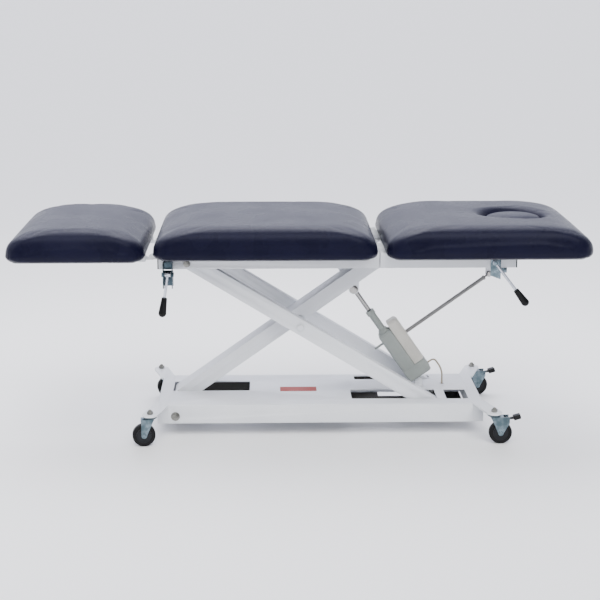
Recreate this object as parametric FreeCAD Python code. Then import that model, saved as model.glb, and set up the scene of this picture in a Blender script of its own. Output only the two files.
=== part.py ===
import FreeCAD, Part
import math
import os

os.makedirs("parts", exist_ok=True)
Vec = FreeCAD.Vector

# Height-adjustable three-section treatment table, shown at its lowest height.
# X runs towards the head end, Y away from the near side, Z up. Millimetres.
# The origin is on the floor, under the middle of the table.

# Overall layout
table_length = 1884.0
table_width = 604.0
platform_height = 621.0
leg_length = 449.0
back_length = 666.0
leg_gap = 23.0
back_gap = 24.0
head_end_x = table_length / 2
foot_end_x = -head_end_x
leg_end_x = foot_end_x + leg_length
middle_foot_x = leg_end_x + leg_gap
back_start_x = head_end_x - back_length
middle_head_x = back_start_x - back_gap
fit_gap = 0.05
side_gap = 0.3
overrun = 5.0

# Lifting scissor, as pivots in the X-Z plane
low_pivot_x = -411.0
low_pivot_z = 67.4
centre_x = 5.7
centre_z = 352.0
high_pivot_x = -366.0
high_pivot_drop = 42.0
high_pivot_z = platform_height - high_pivot_drop
inner_slope = math.atan2(centre_z - low_pivot_z, centre_x - low_pivot_x)
outer_slope = math.atan2(high_pivot_z - centre_z, centre_x - high_pivot_x)
high_roller_x = centre_x + (high_pivot_z - centre_z) / math.tan(inner_slope)
low_roller_x = centre_x + (centre_z - low_pivot_z) / math.tan(outer_slope)

# Scissor arms, as rectangular tubes with their layers in Y
arm_height = 50.0
arm_wall = 3.0
outer_arm_width = 35.0
outer_near_y = -112.0
outer_far_y = 123.0
inner_arm_y = 1.0
inner_arm_width = 98.0
inner_tube_slope = math.radians(35.3)
inner_tube_drop = 7.4
inner_tube_start = 4.0
inner_tube_short = 2.1
inner_tube_length = math.hypot(high_roller_x - low_pivot_x,
                               high_pivot_z - low_pivot_z) - inner_tube_short
inner_tube_top_drop = 13.0
inner_tube_top_z = platform_height - inner_tube_top_drop
outer_arm_foot_over = 34.0
outer_arm_head_over = 26.0
arm_end_radius = 22.0
tie_radius = 17.0
tie_inset = 74.0

# Base tray
base_foot_x = -436.0
base_head_x = 579.0
base_half_width = 181.0
base_top_z = 106.0
base_bottom_z = 43.0
base_sheet = 4.0
base_lip = 14.0
plate_corner = 8.0
crossbar_width = 34.0
crossbar_height = 56.0
tube_wall = 2.5

# Holes in the base plate, as X and Y limits
foot_slot = (-428.0, -166.0, -13.0, 105.0)
near_slot = (178.0, 466.0, -118.0, -8.0)
far_slot = (200.0, 466.0, 116.0, 165.0)
access_hole = (497.0, 571.0, -123.0, -11.0)
slot_corner = 5.0

# Tracks for the lower rollers
low_track_near_y = -118.5
low_track_far_y = 159.5
low_track_start_x = 262.0
low_track_end_x = 520.0
track_sheet = 3.0
track_leg = 24.0

# Rollers and shafts
roller_radius = 15.0
roller_width = 14.0
roller_lip = 1.0
shaft_radius = 9.0
pivot_radius = 10.0
pivot_head_radius = 15.0
pivot_head = 5.0
cap_radius = 11.5
cap_height = 6.0
cap_round = 4.0
sleeve_radius = 16.0
bush_gap = 0.06

# Castor plates and castors
castor_foot_x = -487.0
castor_head_x = 635.0
castor_y = 277.0
castor_plate = 6.0
castor_plate_end = 25.0
castor_plate_bar = 25.0
stem_radius = 5.0
nut_across = 18.0
nut_height = 9.0
dome_radius = 6.5
wheel_radius = 37.5
wheel_width = 24.0
tread_round = 5.0
hub_radius = 25.0
hub_recess = 2.5
boss_radius = 9.0
axle_radius = 4.0
axle_head_radius = 7.0
axle_head = 4.0
castor_trail = 21.0
race_radius = 23.0
race_height = 8.0
race_gap = 0.3
crown_height = 4.0
cheek_sheet = 3.0
cheek_gap = 1.5
cheek_foot = 9.0
pedal_pin_radius = 3.0
pedal_pin_x = 40.0
pedal_pin_z = 81.0
pedal_sleeve_radius = 5.5
pedal_arm = 26.0
pedal_sheet = 3.0
pedal_width = 18.0
pedal_rise = math.radians(8.0)
pad_length = 24.0
pad_height = 15.0
pad_width = 24.0
pad_round = 3.0

# Upper frame of rectangular tubes
rail_height = 50.0
rail_width = 30.0
rail_near_y = -155.0
rail_far_y = 171.0
rail_foot_in = 31.0
rail_foot_x = leg_end_x + rail_foot_in
rail_split_gap = 3.0
back_rail_end_in = 227.0
back_rail_end_x = head_end_x - back_rail_end_in
board_thick = 10.0
rail_top_z = platform_height - board_thick
rail_bottom_z = rail_top_z - rail_height
cap_depth = 4.0
cap_tongue = 12.0
cross_width = 30.0
cross_height = 40.0
frame_cross_mid_x = 96.0
high_track_start_x = 158.0
high_track_end_x = 376.0
high_track_sheet = 2.5
high_track_width = 25.0
high_track_gap = 1.0

# Hinge of the back section
back_hinge_x = middle_head_x + back_gap / 2
back_hinge_rise = 11.0
back_hinge_z = platform_height + back_hinge_rise
hinge_ear = 6.0
hinge_ear_radius = 9.5
hinge_pin_radius = 5.0
hinge_ear_reach = 34.0
hinge_ear_drop = 12.0
leg_ear_reach = 44.0

# Hinge and frame of the leg section
leg_drop = 5.0
leg_rail_height = 20.0
leg_rail_head_in = 7.0
leg_rail_foot_in = 110.0
leg_rail_end_x = leg_end_x - leg_rail_head_in
leg_rail_start_x = foot_end_x + leg_rail_foot_in
leg_bottom_z = platform_height - leg_drop
leg_hinge_x = middle_foot_x - leg_gap / 2
leg_bar_top_z = leg_bottom_z - board_thick
leg_hinge_z = leg_bar_top_z - leg_rail_height / 2
leg_cross_in = 70.0
leg_cross_x = leg_rail_start_x + leg_cross_in

# Cushions and boards
cushion_thick = 95.0
cushion_corner = 46.0
board_inset = 27.0
board_corner = 24.0

# Each level of a cushion: how far it is drawn in, and its share of the height
cushion_levels = (
    (22.0, 0),
    (10.0, 0.035),
    (3.0, 0.12),
    (0, 0.26),
    (0.5, 0.38),
    (3.0, 0.52),
    (7.5, 0.65),
    (14.0, 0.76),
    (25.0, 0.85),
    (42.0, 0.92),
    (72.0, 0.965),
    (112.0, 0.99),
    (150.0, 1),
)

# Face hole and its plug
face_in = 222.0
face_x = head_end_x - face_in
face_half_length = 108.0
face_half_width = 95.0
hole_roll = 9.0
hole_roll_share = 0.62
hole_edge_share = 0.88
plug_gap = 2.0
plug_bottom_rise = 22.0
plug_top_rise = 84.0
plug_bottom_z = platform_height + plug_bottom_rise
plug_top_z = platform_height + plug_top_rise
plug_low_share = 0.12
plug_side_share = 0.62
plug_round_share = 0.80
plug_shoulder_share = 0.92
plug_round_in = 4.0
plug_shoulder_in = 12.0
plug_crown_in = 34.0
board_hole_half_x = 70.0
board_hole_half_y = 60.0
board_hole_corner = 4.0

# Lifting actuator, placed along the line from its foot pin to its rod eye
actuator_y = 50.0
foot_pin_x = 418.0
foot_pin_z = 122.0
eye_pin_x = 191.0
eye_pin_z = 448.0
gear_start = 13.0
gear_end = 62.0
spindle_end = 212.0
tube_end = 302.0
motor_end = 236.0
housing_back = 26.0
seam_offset = 24.5
motor_front = 62.0
housing_half_depth = 31.0
motor_half_depth = 29.0
housing_round = 9.0
motor_round = 14.0
tube_radius = 12.5
collar_radius = 15.0
collar_length = 16.0
nose_length = 12.0
rod_radius = 8.0
rod_inside = 22.0
eye_radius = 13.0
eye_half = 8.0
pin_radius = 5.0
open_hole_radius = 10.0
bracket_sheet = 5.0
bracket_gap = 1.0
bracket_width = 34.0
foot_plate_length = 58.0
washer_radius = 14.0
washer = 2.0
plug_stub_radius = 4.0
plug_stub_length = 34.0
plug_stub_along = 178.0

# Lead from the actuator through the base plate: it leaves the gearbox square on
lead_radius = 3.0
lead_y = actuator_y + 12.0
lead_along = 30.0
lead_out = 26.0
lead_drop_x = 502.0
lead_drop_z = 156.0
lead_end_z = 96.0
lead_hole_radius = 8.0
lead_bend_share = 0.48

# Gas strut of the back section and its hanger
strut_y = 106.0
strut_foot_x = 324.5
strut_foot_z = 242.0
strut_eye_in = 278.0
strut_eye_drop = 135.0
strut_eye_x = head_end_x - strut_eye_in
strut_eye_z = platform_height - strut_eye_drop
strut_tube_radius = 6.5
strut_rod_radius = 4.0
strut_tube_start = 13.0
strut_tube_end = 398.0
strut_rod_inside = 236.0
strut_eye_radius = 7.0
strut_eye_half = 5.0
strut_pin_radius = 4.0
strut_collar_radius = 8.0
strut_collar_length = 8.0
strut_open_radius = 9.0
strut_washer_radius = 12.5
hanger_y = 114.5
hanger_sheet = 5.0
hanger_half = 7.5
lug_half = 13.0

# Release levers, brackets and grips
lever_radius = 4.8
grip_small = 9.0
grip_large = 13.0
grip_length = 65.0
grip_cover = 14.0
leg_lever_in = 66.0
leg_lever_drop = 73.0
leg_lever_x = leg_end_x + leg_lever_in
leg_lever_z = platform_height - leg_lever_drop
leg_bracket_half = 16.0
leg_bracket_sheet = 3.0
leg_bracket_top_drop = 33.0
leg_bracket_low_drop = 118.0
leg_bracket_top_z = platform_height - leg_bracket_top_drop
leg_bracket_low_z = platform_height - leg_bracket_low_drop
leg_bracket_out = 34.0
leg_prong_out = 20.0
leg_lever_lean = 12.0
leg_lever_reach = 77.0
leg_lever_end_x = leg_lever_x - leg_lever_lean
leg_lever_end_z = leg_lever_z - leg_lever_reach
lever_hub_radius = 8.0
lever_hub_half = 9.0
lever_bolt_radius = 4.0
lever_bolt_head = 7.5
back_lever_in = 302.0
back_lever_drop = 41.0
back_lever_x = head_end_x - back_lever_in
back_lever_z = platform_height - back_lever_drop
back_bracket_foot_reach = 13.0
back_bracket_head_reach = 21.0
back_bracket_foot_x = back_lever_x - back_bracket_foot_reach
back_bracket_head_x = back_lever_x + back_bracket_head_reach
back_bracket_top_rise = 14.0
back_bracket_low_drop = 58.0
back_bracket_top_z = back_lever_z + back_bracket_top_rise
back_bracket_low_z = back_lever_z - back_bracket_low_drop
back_bracket_slant = 13.0
back_bracket_sheet = 3.0
back_lever_lean = 71.0
back_lever_reach = 92.0
back_lever_end_x = back_lever_x + back_lever_lean
back_lever_end_z = back_lever_z - back_lever_reach
lever_plate_gap = 0.5
gusset_reach = 20.0
gusset_low_drop = 76.0
gusset_low_z = platform_height - gusset_low_drop


def write(name, shape):
    """Write one node's solids to its own file."""
    solids = shape.Solids
    result = solids[0] if len(solids) == 1 else Part.makeCompound(solids)
    result.exportStep("parts/" + name + ".step")
    print(name, len(solids), round(shape.Volume))


def block(x_low, x_high, y_low, y_high, z_low, z_high):
    """A box between two corners."""
    corner = Vec(x_low, y_low, z_low)
    return Part.makeBox(x_high - x_low, y_high - y_low, z_high - z_low, corner)


def rod_y(x, z, y_low, y_high, radius):
    """A round bar along Y."""
    return Part.makeCylinder(radius, y_high - y_low, Vec(x, y_low, z), Vec(0, 1, 0))


def rod_z(x, y, z_low, z_high, radius):
    """A round bar along Z."""
    return Part.makeCylinder(radius, z_high - z_low, Vec(x, y, z_low), Vec(0, 0, 1))


def rod_x(x_low, x_high, y, z, radius):
    """A round bar along X."""
    return Part.makeCylinder(radius, x_high - x_low, Vec(x_low, y, z), Vec(1, 0, 0))


def rod_between(start, end, radius):
    """A round bar from one point to another."""
    run = end.sub(start)
    return Part.makeCylinder(radius, run.Length, start, run)


def button_y(x, z, face_y, side):
    """A round cap with a rounded rim, standing out along Y from a face."""
    axis = Vec(0, side, 0)
    cap = Part.makeCylinder(cap_radius, cap_height, Vec(x, face_y, z), axis)
    rim = max(cap.Edges, key=lambda edge: edge.CenterOfMass.y * side)
    return cap.makeFillet(cap_round, [rim])


def plate_y(points, y_low, y_high):
    """A plate with an outline in X and Z, between two values of Y."""
    corners = [Vec(x, y_low, z) for x, z in points]
    face = Part.Face(Part.makePolygon(corners + corners[:1]))
    return face.extrude(Vec(0, y_high - y_low, 0))


def plate_z(points, z_low, z_high):
    """A plate with an outline in X and Y, between two heights."""
    corners = [Vec(x, y, z_low) for x, y in points]
    face = Part.Face(Part.makePolygon(corners + corners[:1]))
    return face.extrude(Vec(0, 0, z_high - z_low))


def join(first, *others):
    """Fuse solids and clean up their shared faces."""
    return first.fuse(list(others)).removeSplitter()


def rounded_wire(x_low, x_high, y_low, y_high, z, radius):
    """A rectangle with round corners at one height, from lines and arcs."""
    quarter = math.sqrt(0.5)
    edges = []
    centres = (
        (x_high - radius, y_low + radius, 1, -1),
        (x_high - radius, y_high - radius, 1, 1),
        (x_low + radius, y_high - radius, -1, 1),
        (x_low + radius, y_low + radius, -1, -1),
    )
    arcs = []
    for index, (x, y, side_x, side_y) in enumerate(centres):
        along = Vec(x + radius * side_x, y, z)
        across = Vec(x, y + radius * side_y, z)
        middle = Vec(x + radius * quarter * side_x, y + radius * quarter * side_y, z)
        start, end = (across, along) if index % 2 == 0 else (along, across)
        arcs.append((start, middle, end))
    for index, (start, middle, end) in enumerate(arcs):
        edges.append(Part.Arc(start, middle, end).toShape())
        edges.append(Part.LineSegment(end, arcs[(index + 1) % len(arcs)][0]).toShape())
    return Part.Wire(edges)


def rounded_plate(x_low, x_high, y_low, y_high, z_low, z_high, radius):
    """A plate with round corners."""
    face = Part.Face(rounded_wire(x_low, x_high, y_low, y_high, z_low, radius))
    return face.extrude(Vec(0, 0, z_high - z_low))


def oval_wire(x, half_x, half_y, z):
    """An oval at one height, in four quarters."""
    curve = Part.Ellipse(Vec(x, 0, z), half_x, half_y)
    quarter = math.pi / 2
    edges = []
    for index in range(4):
        arc = Part.ArcOfEllipse(curve, quarter * index, quarter * (index + 1))
        edges.append(arc.toShape())
    return Part.Wire(edges)


def oval_prism(x, half_x, half_y, z_low, z_high):
    """An upright oval block."""
    face = Part.Face(oval_wire(x, half_x, half_y, z_low))
    return face.extrude(Vec(0, 0, z_high - z_low))


def tube_x(x_low, x_high, y_low, y_high, z_low, z_high, wall):
    """A rectangular tube along X, open at both ends."""
    outer = block(x_low, x_high, y_low, y_high, z_low, z_high)
    inner = block(x_low - overrun, x_high + overrun, y_low + wall, y_high - wall,
                  z_low + wall, z_high - wall)
    return outer.cut(inner)


def tube_y(x_low, x_high, y_low, y_high, z_low, z_high, wall):
    """A rectangular tube along Y, open at both ends."""
    outer = block(x_low, x_high, y_low, y_high, z_low, z_high)
    inner = block(x_low + wall, x_high - wall, y_low - overrun, y_high + overrun,
                  z_low + wall, z_high - wall)
    return outer.cut(inner)


def hex_nut(x, y, z_low, across, height):
    """A hexagonal nut standing on one height."""
    reach = across / math.sqrt(3)
    points = []
    for turn in range(6):
        angle = math.radians(60 * turn)
        points.append((x + reach * math.cos(angle), y + reach * math.sin(angle)))
    return plate_z(points, z_low, z_low + height)


def make_base():
    """The pressed base: a top plate with slots, two side plates and two crossbars."""
    top = rounded_plate(base_foot_x, base_head_x, -base_half_width, base_half_width,
                        base_top_z - base_sheet, base_top_z, plate_corner)
    for x_low, x_high, y_low, y_high in (foot_slot, near_slot, far_slot, access_hole):
        hole = rounded_plate(x_low, x_high, y_low, y_high, base_top_z - base_sheet - overrun,
                             base_top_z + overrun, slot_corner)
        top = top.cut(hole)
    lead_hole = rod_z(lead_drop_x, lead_y, base_top_z - base_sheet - overrun,
                      base_top_z + overrun, lead_hole_radius)
    write("base_top_plate", top.cut(lead_hole))
    for name, side in (("near", -1), ("far", 1)):
        outside = base_half_width * side
        inside = outside - base_sheet * side
        lip = outside - base_lip * side
        wall = block(base_foot_x, base_head_x, min(outside, inside), max(outside, inside),
                     base_bottom_z, base_top_z - base_sheet)
        flange = block(base_foot_x, base_head_x, min(outside, lip), max(outside, lip),
                       base_bottom_z, base_bottom_z + base_sheet)
        bore = rod_y(low_pivot_x, low_pivot_z, min(outside, inside) - overrun,
                     max(outside, inside) + overrun, pivot_radius + fit_gap)
        write("base_side_" + name, join(wall, flange).cut(bore))
    crossbar_top = base_top_z - castor_plate
    write("foot_crossbar", tube_y(base_foot_x - crossbar_width, base_foot_x, -base_half_width,
                                  base_half_width, crossbar_top - crossbar_height,
                                  crossbar_top, tube_wall))
    write("head_crossbar", tube_y(base_head_x, base_head_x + crossbar_width, -base_half_width,
                                  base_half_width, crossbar_top - crossbar_height,
                                  crossbar_top, tube_wall))


def castor_plate_shape(castor_x, bar_low_x, bar_high_x):
    """A flat bar on a crossbar, slanting out to a round end at each castor."""
    z_low = base_top_z - castor_plate
    plate = block(bar_low_x, bar_high_x, -base_half_width, base_half_width, z_low, base_top_z)
    middle_x = (bar_low_x + bar_high_x) / 2
    for side in (-1, 1):
        start = Vec(middle_x, (base_half_width - castor_plate_bar) * side, 0)
        run = Vec(castor_x, castor_y * side, 0).sub(start)
        run.normalize()
        across = Vec(-run.y, run.x, 0) * castor_plate_end
        end = Vec(castor_x, castor_y * side, 0)
        corners = [start.add(across), end.add(across), end.sub(across), start.sub(across)]
        arm = plate_z([(corner.x, corner.y) for corner in corners], z_low, base_top_z)
        end_disc = rod_z(castor_x, castor_y * side, z_low, base_top_z, castor_plate_end)
        plate = join(plate, arm, end_disc)
    keep_high = base_half_width - side_gap
    foot_side = bar_low_x - overrun if castor_x > 0 else bar_high_x
    head_side = bar_low_x if castor_x > 0 else bar_high_x + overrun
    reach = castor_plate_end + overrun
    trim_low = min(foot_side, head_side) - (reach if castor_x > 0 else 0)
    trim_high = max(foot_side, head_side) + (0 if castor_x > 0 else reach)
    trim = block(trim_low, trim_high, -keep_high - side_gap, keep_high + side_gap,
                 z_low - overrun, base_top_z + overrun)
    plate = plate.cut(trim)
    for side in (-1, 1):
        hole = rod_z(castor_x, castor_y * side, z_low - overrun, base_top_z + overrun,
                     stem_radius + fit_gap)
        plate = plate.cut(hole)
    return plate


def make_castor_plates():
    """The two castor plates and the four castor nuts."""
    write("foot_castor_plate", castor_plate_shape(castor_foot_x, base_foot_x - crossbar_width,
                                                  base_foot_x))
    write("head_castor_plate", castor_plate_shape(castor_head_x, base_head_x,
                                                  base_head_x + crossbar_width))
    nuts = []
    for x in (castor_foot_x, castor_head_x):
        for y in (-castor_y, castor_y):
            nut = hex_nut(x, y, base_top_z, nut_across, nut_height)
            dome = Part.makeSphere(dome_radius, Vec(x, y, base_top_z + nut_height))
            stem = rod_z(x, y, base_top_z - castor_plate, base_top_z + nut_height, stem_radius)
            nuts.append(join(nut, dome, stem))
    write("castor_nuts", Part.makeCompound(nuts))


def place_castor(shape, x, y, turn):
    """Turn a castor piece about its stem and put it under its plate."""
    placed = shape.copy()
    placed.rotate(Vec(0, 0, 0), Vec(0, 0, 1), turn)
    placed.translate(Vec(x, y, 0))
    return placed


def castor_fork_shape(with_pedal):
    """A pressed fork with its ball race, crown, two cheeks and axle bolt."""
    top_z = base_top_z - castor_plate - race_gap
    crown_z = top_z - race_height
    cheek_in = wheel_width / 2 + cheek_gap
    cheek_out = cheek_in + cheek_sheet
    race = Part.makeCone(race_radius - tread_round, race_radius, race_height / 2,
                         Vec(0, 0, top_z - race_height), Vec(0, 0, 1))
    cap = rod_z(0, 0, top_z - race_height / 2, top_z, race_radius - hub_recess)
    crown_end = castor_trail + boss_radius
    crown = block(-race_radius / 2, crown_end, -cheek_out, cheek_out, crown_z - crown_height,
                  crown_z)
    fork = join(race, cap, crown)
    for side in (-1, 1):
        low_y = min(cheek_in * side, cheek_out * side)
        high_y = max(cheek_in * side, cheek_out * side)
        head_x = pedal_pin_x + cheek_foot if with_pedal else crown_end
        outline = (
            (-race_radius / 2, crown_z),
            (head_x, crown_z),
            (head_x, pedal_pin_z - cheek_foot),
            (castor_trail + cheek_foot, wheel_radius),
            (castor_trail - cheek_foot, wheel_radius),
        )
        cheek = plate_y(outline, low_y, high_y)
        foot = rod_y(castor_trail, wheel_radius, low_y, high_y, cheek_foot)
        fork = join(fork, cheek, foot)
    axle = rod_y(castor_trail, wheel_radius, -cheek_out - axle_head, cheek_out + axle_head,
                 axle_radius)
    fork = join(fork, axle)
    for side in (-1, 1):
        low_y = min(cheek_out * side, (cheek_out + axle_head) * side)
        head = rod_y(castor_trail, wheel_radius, low_y, low_y + axle_head, axle_head_radius)
        fork = join(fork, head)
    if with_pedal:
        pin = rod_y(pedal_pin_x, pedal_pin_z, -cheek_out, cheek_out, pedal_pin_radius)
        notch = block(crown_end, head_x + overrun, -cheek_in, cheek_in, crown_z - crown_height,
                      crown_z + overrun)
        fork = join(fork.cut(notch), pin)
    return fork


def castor_wheel_shape():
    """A wheel with a rounded tread, a recessed hub and a bored boss."""
    half = wheel_width / 2
    tyre = rod_y(castor_trail, wheel_radius, -half, half, wheel_radius)
    rims = [edge for edge in tyre.Edges if abs(edge.Length - 2 * math.pi * wheel_radius) < fit_gap]
    tyre = tyre.makeFillet(tread_round, rims)
    for side in (-1, 1):
        face_y = half * side
        low_y = min(face_y, face_y - hub_recess * side)
        ring = rod_y(castor_trail, wheel_radius, low_y, low_y + hub_recess, hub_radius)
        ring = ring.cut(rod_y(castor_trail, wheel_radius, low_y, low_y + hub_recess, boss_radius))
        tyre = tyre.cut(ring)
    return tyre.cut(rod_y(castor_trail, wheel_radius, -half - overrun, half + overrun,
                          axle_radius + fit_gap))


def pedal_shape():
    """A brake pedal: a sleeve on its pin, a sheet arm and a foot pad."""
    half = wheel_width / 2
    sleeve = rod_y(pedal_pin_x, pedal_pin_z, -half, half, pedal_sleeve_radius)
    arm = block(0, pedal_arm, -pedal_width / 2, pedal_width / 2, 0, pedal_sheet)
    pad = block(0, pad_length, -pad_width / 2, pad_width / 2, -pad_height / 2, pad_height / 2)
    pad = pad.makeFillet(pad_round, pad.Edges)
    pad.rotate(Vec(0, 0, 0), Vec(0, 1, 0), -math.degrees(pedal_rise))
    pad.translate(Vec(pedal_arm - pad_round, 0, pedal_sheet / 2))
    arm = join(arm, pad)
    arm.rotate(Vec(0, 0, 0), Vec(0, 1, 0), -math.degrees(pedal_rise))
    arm.translate(Vec(pedal_pin_x, 0, pedal_pin_z))
    bore = rod_y(pedal_pin_x, pedal_pin_z, -half - overrun, half + overrun,
                 pedal_pin_radius + fit_gap)
    return join(sleeve, arm).cut(bore)


def make_castors():
    """Four castors, with brake pedals at the head end."""
    castors = (
        ("foot_near", castor_foot_x, -castor_y, 188.0, False),
        ("foot_far", castor_foot_x, castor_y, 10.0, False),
        ("head_near", castor_head_x, -castor_y, 0.0, True),
        ("head_far", castor_head_x, castor_y, 6.0, True),
    )
    wheel = castor_wheel_shape()
    pedal = pedal_shape()
    for name, x, y, turn, with_pedal in castors:
        fork = castor_fork_shape(with_pedal)
        write("castor_fork_" + name, place_castor(fork, x, y, turn))
        write("castor_wheel_" + name, place_castor(wheel, x, y, turn))
        if with_pedal:
            write("castor_pedal_" + name, place_castor(pedal, x, y, turn))


def make_low_tracks():
    """Two ledges on the base's side plates that the lower rollers run on."""
    run_z = low_pivot_z - roller_radius - side_gap
    wall_y = base_half_width - base_sheet
    near_leg = block(low_track_start_x, low_track_end_x, -wall_y, -wall_y + track_sheet,
                     run_z - track_sheet, run_z + track_leg)
    near_run = block(low_track_start_x, low_track_end_x, -wall_y, low_track_near_y,
                     run_z - track_sheet, run_z)
    far_leg = block(low_track_start_x, low_track_end_x, wall_y - track_sheet, wall_y,
                    run_z - track_sheet, run_z + track_leg)
    far_run = block(low_track_start_x, low_track_end_x, low_track_far_y, wall_y,
                    run_z - track_sheet, run_z)
    write("low_tracks", Part.makeCompound([join(near_leg, near_run), join(far_leg, far_run)]))


def make_low_pivot():
    """The shaft across the base that the inner arm turns on, with a washer each side."""
    reach = base_half_width + washer
    shaft = rod_y(low_pivot_x, low_pivot_z, -reach, reach, pivot_radius)
    for side in (-1, 1):
        face = base_half_width * side
        low_y = min(face, face + washer * side)
        disc = rod_y(low_pivot_x, low_pivot_z, low_y, low_y + washer, pivot_head_radius)
        head_y = reach if side > 0 else -reach - pivot_head
        head = rod_y(low_pivot_x, low_pivot_z, head_y, head_y + pivot_head, cap_radius)
        shaft = join(shaft, disc, head)
    write("low_pivot_shaft", shaft)


def along_arm(shape, x, z, slope):
    """Turn a shape built along X up by a slope, and put its origin at a pivot."""
    placed = shape.copy()
    placed.rotate(Vec(0, 0, 0), Vec(0, 1, 0), -math.degrees(slope))
    placed.translate(Vec(x, 0, z))
    return placed


def inner_underside(x):
    """Height of the inner tube's underside at one X."""
    middle = low_pivot_z + inner_tube_drop + (x - low_pivot_x) * math.tan(inner_tube_slope)
    return middle - arm_height / 2 / math.cos(inner_tube_slope)


def make_inner_arm():
    """The single wide inner arm, with its lower sleeve, roller lugs and actuator ears."""
    y_low = inner_arm_y
    y_high = inner_arm_y + inner_arm_width
    half = arm_height / 2
    tube = tube_x(inner_tube_start, inner_tube_length, y_low, y_high, -half, half, arm_wall)
    tube = along_arm(tube, low_pivot_x, low_pivot_z + inner_tube_drop, inner_tube_slope)
    clip = block(foot_end_x, head_end_x, y_low - overrun, y_high + overrun, inner_tube_top_z,
                 platform_height + table_width)
    tube = tube.cut(clip)
    sleeve = rod_y(low_pivot_x, low_pivot_z, y_low, y_high, sleeve_radius)
    middle_sleeve = rod_y(centre_x, centre_z, y_low, y_high, sleeve_radius)
    arm = join(tube, sleeve, middle_sleeve)
    for side_y in (y_low, y_high - bracket_sheet):
        boss = rod_y(high_roller_x, high_pivot_z, side_y, side_y + bracket_sheet, sleeve_radius)
        web_back = 3 * sleeve_radius
        web = plate_y(((high_roller_x - web_back, high_pivot_z),
                       (high_roller_x, high_pivot_z - sleeve_radius),
                       (high_roller_x + sleeve_radius, high_pivot_z),
                       (high_roller_x, high_pivot_z + sleeve_radius)),
                      side_y, side_y + bracket_sheet)
        arm = join(arm, boss, web)
    inner_bore = pivot_radius + bush_gap
    for x, z, radius in ((low_pivot_x, low_pivot_z, inner_bore),
                         (centre_x, centre_z, inner_bore),
                         (high_roller_x, high_pivot_z, shaft_radius + bush_gap)):
        arm = arm.cut(rod_y(x, z, y_low - overrun, y_high + overrun, radius))
    half = bracket_width / 2
    for side in (-1, 1):
        near = actuator_y + side * (eye_half + bracket_gap)
        low_y = min(near, near + side * bracket_sheet)
        outline = (
            (eye_pin_x - half, inner_underside(eye_pin_x - half)),
            (eye_pin_x + half, inner_underside(eye_pin_x + half)),
            (eye_pin_x + half, eye_pin_z),
            (eye_pin_x - half, eye_pin_z),
        )
        ear = plate_y(outline, low_y, low_y + bracket_sheet)
        ear = join(ear, rod_y(eye_pin_x, eye_pin_z, low_y, low_y + bracket_sheet, half))
        hole = rod_y(eye_pin_x, eye_pin_z, low_y - overrun, low_y + bracket_sheet + overrun,
                     open_hole_radius)
        arm = join(arm, ear.cut(hole))
    write("inner_arm", arm)


def outer_arm_shape(y_low):
    """One outer arm: a tube between the fixed upper pivot and the lower roller."""
    y_high = y_low + outer_arm_width
    half = arm_height / 2
    run = math.hypot(low_roller_x - high_pivot_x, high_pivot_z - low_pivot_z)
    low_clip = outer_arm_foot_over
    tube = tube_x(-outer_arm_head_over, run + low_clip, y_low, y_high, -half, half, arm_wall)
    tube = along_arm(tube, high_pivot_x, high_pivot_z, -outer_slope)
    top_clip = block(foot_end_x, 0, y_low - overrun, y_high + overrun,
                     high_pivot_z + arm_end_radius, platform_height + table_width)
    foot_clip = block(0, head_end_x, y_low - overrun, y_high + overrun, -overrun,
                      low_pivot_z - arm_end_radius)
    tube = tube.cut(top_clip).cut(foot_clip)
    for x, z in ((high_pivot_x, high_pivot_z), (centre_x, centre_z), (low_roller_x, low_pivot_z)):
        tube = join(tube, rod_y(x, z, y_low, y_high, sleeve_radius))
    tube = tube.cut(rod_y(high_pivot_x, high_pivot_z, y_low - overrun, y_high + overrun,
                          pivot_radius + bush_gap))
    tube = tube.cut(rod_y(centre_x, centre_z, y_low - overrun, y_high + overrun,
                          pivot_radius))
    return tube.cut(rod_y(low_roller_x, low_pivot_z, y_low - overrun, y_high + overrun,
                          shaft_radius + bush_gap))


def make_outer_arms():
    """The two outer arms, the tube that ties them and the shaft through the scissor."""
    write("outer_arm_near", outer_arm_shape(outer_near_y))
    write("outer_arm_far", outer_arm_shape(outer_far_y))
    tie_x = high_pivot_x + tie_inset * math.cos(outer_slope)
    tie_z = high_pivot_z - tie_inset * math.sin(outer_slope)
    tie_low = outer_near_y + outer_arm_width
    write("outer_arm_tie", rod_y(tie_x, tie_z, tie_low, outer_far_y, tie_radius))
    shaft = rod_y(centre_x, centre_z, outer_near_y, outer_far_y + outer_arm_width, pivot_radius)
    spacer_low = outer_near_y + outer_arm_width + side_gap
    spacer = rod_y(centre_x, centre_z, spacer_low, inner_arm_y - side_gap, sleeve_radius)
    far_low = inner_arm_y + inner_arm_width + side_gap
    far_spacer = rod_y(centre_x, centre_z, far_low, outer_far_y - side_gap, sleeve_radius)
    shaft = join(shaft, spacer, far_spacer)
    for face, side in ((outer_near_y, -1), (outer_far_y + outer_arm_width, 1)):
        ring_y = min(face, face + washer * side)
        ring = rod_y(centre_x, centre_z, ring_y, ring_y + washer, sleeve_radius)
        shaft = join(shaft, ring, button_y(centre_x, centre_z, face + washer * side, side))
    write("centre_pivot_shaft", shaft)


def roller_set(x, z, near_face, far_face):
    """An axle with a roller outside each arm."""
    near_low = near_face - roller_width
    far_high = far_face + roller_width
    axle = rod_y(x, z, near_low - roller_lip, far_high + roller_lip, shaft_radius)
    near = rod_y(x, z, near_low, near_face, roller_radius)
    far = rod_y(x, z, far_face, far_high, roller_radius)
    return join(axle, near, far)


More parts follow.
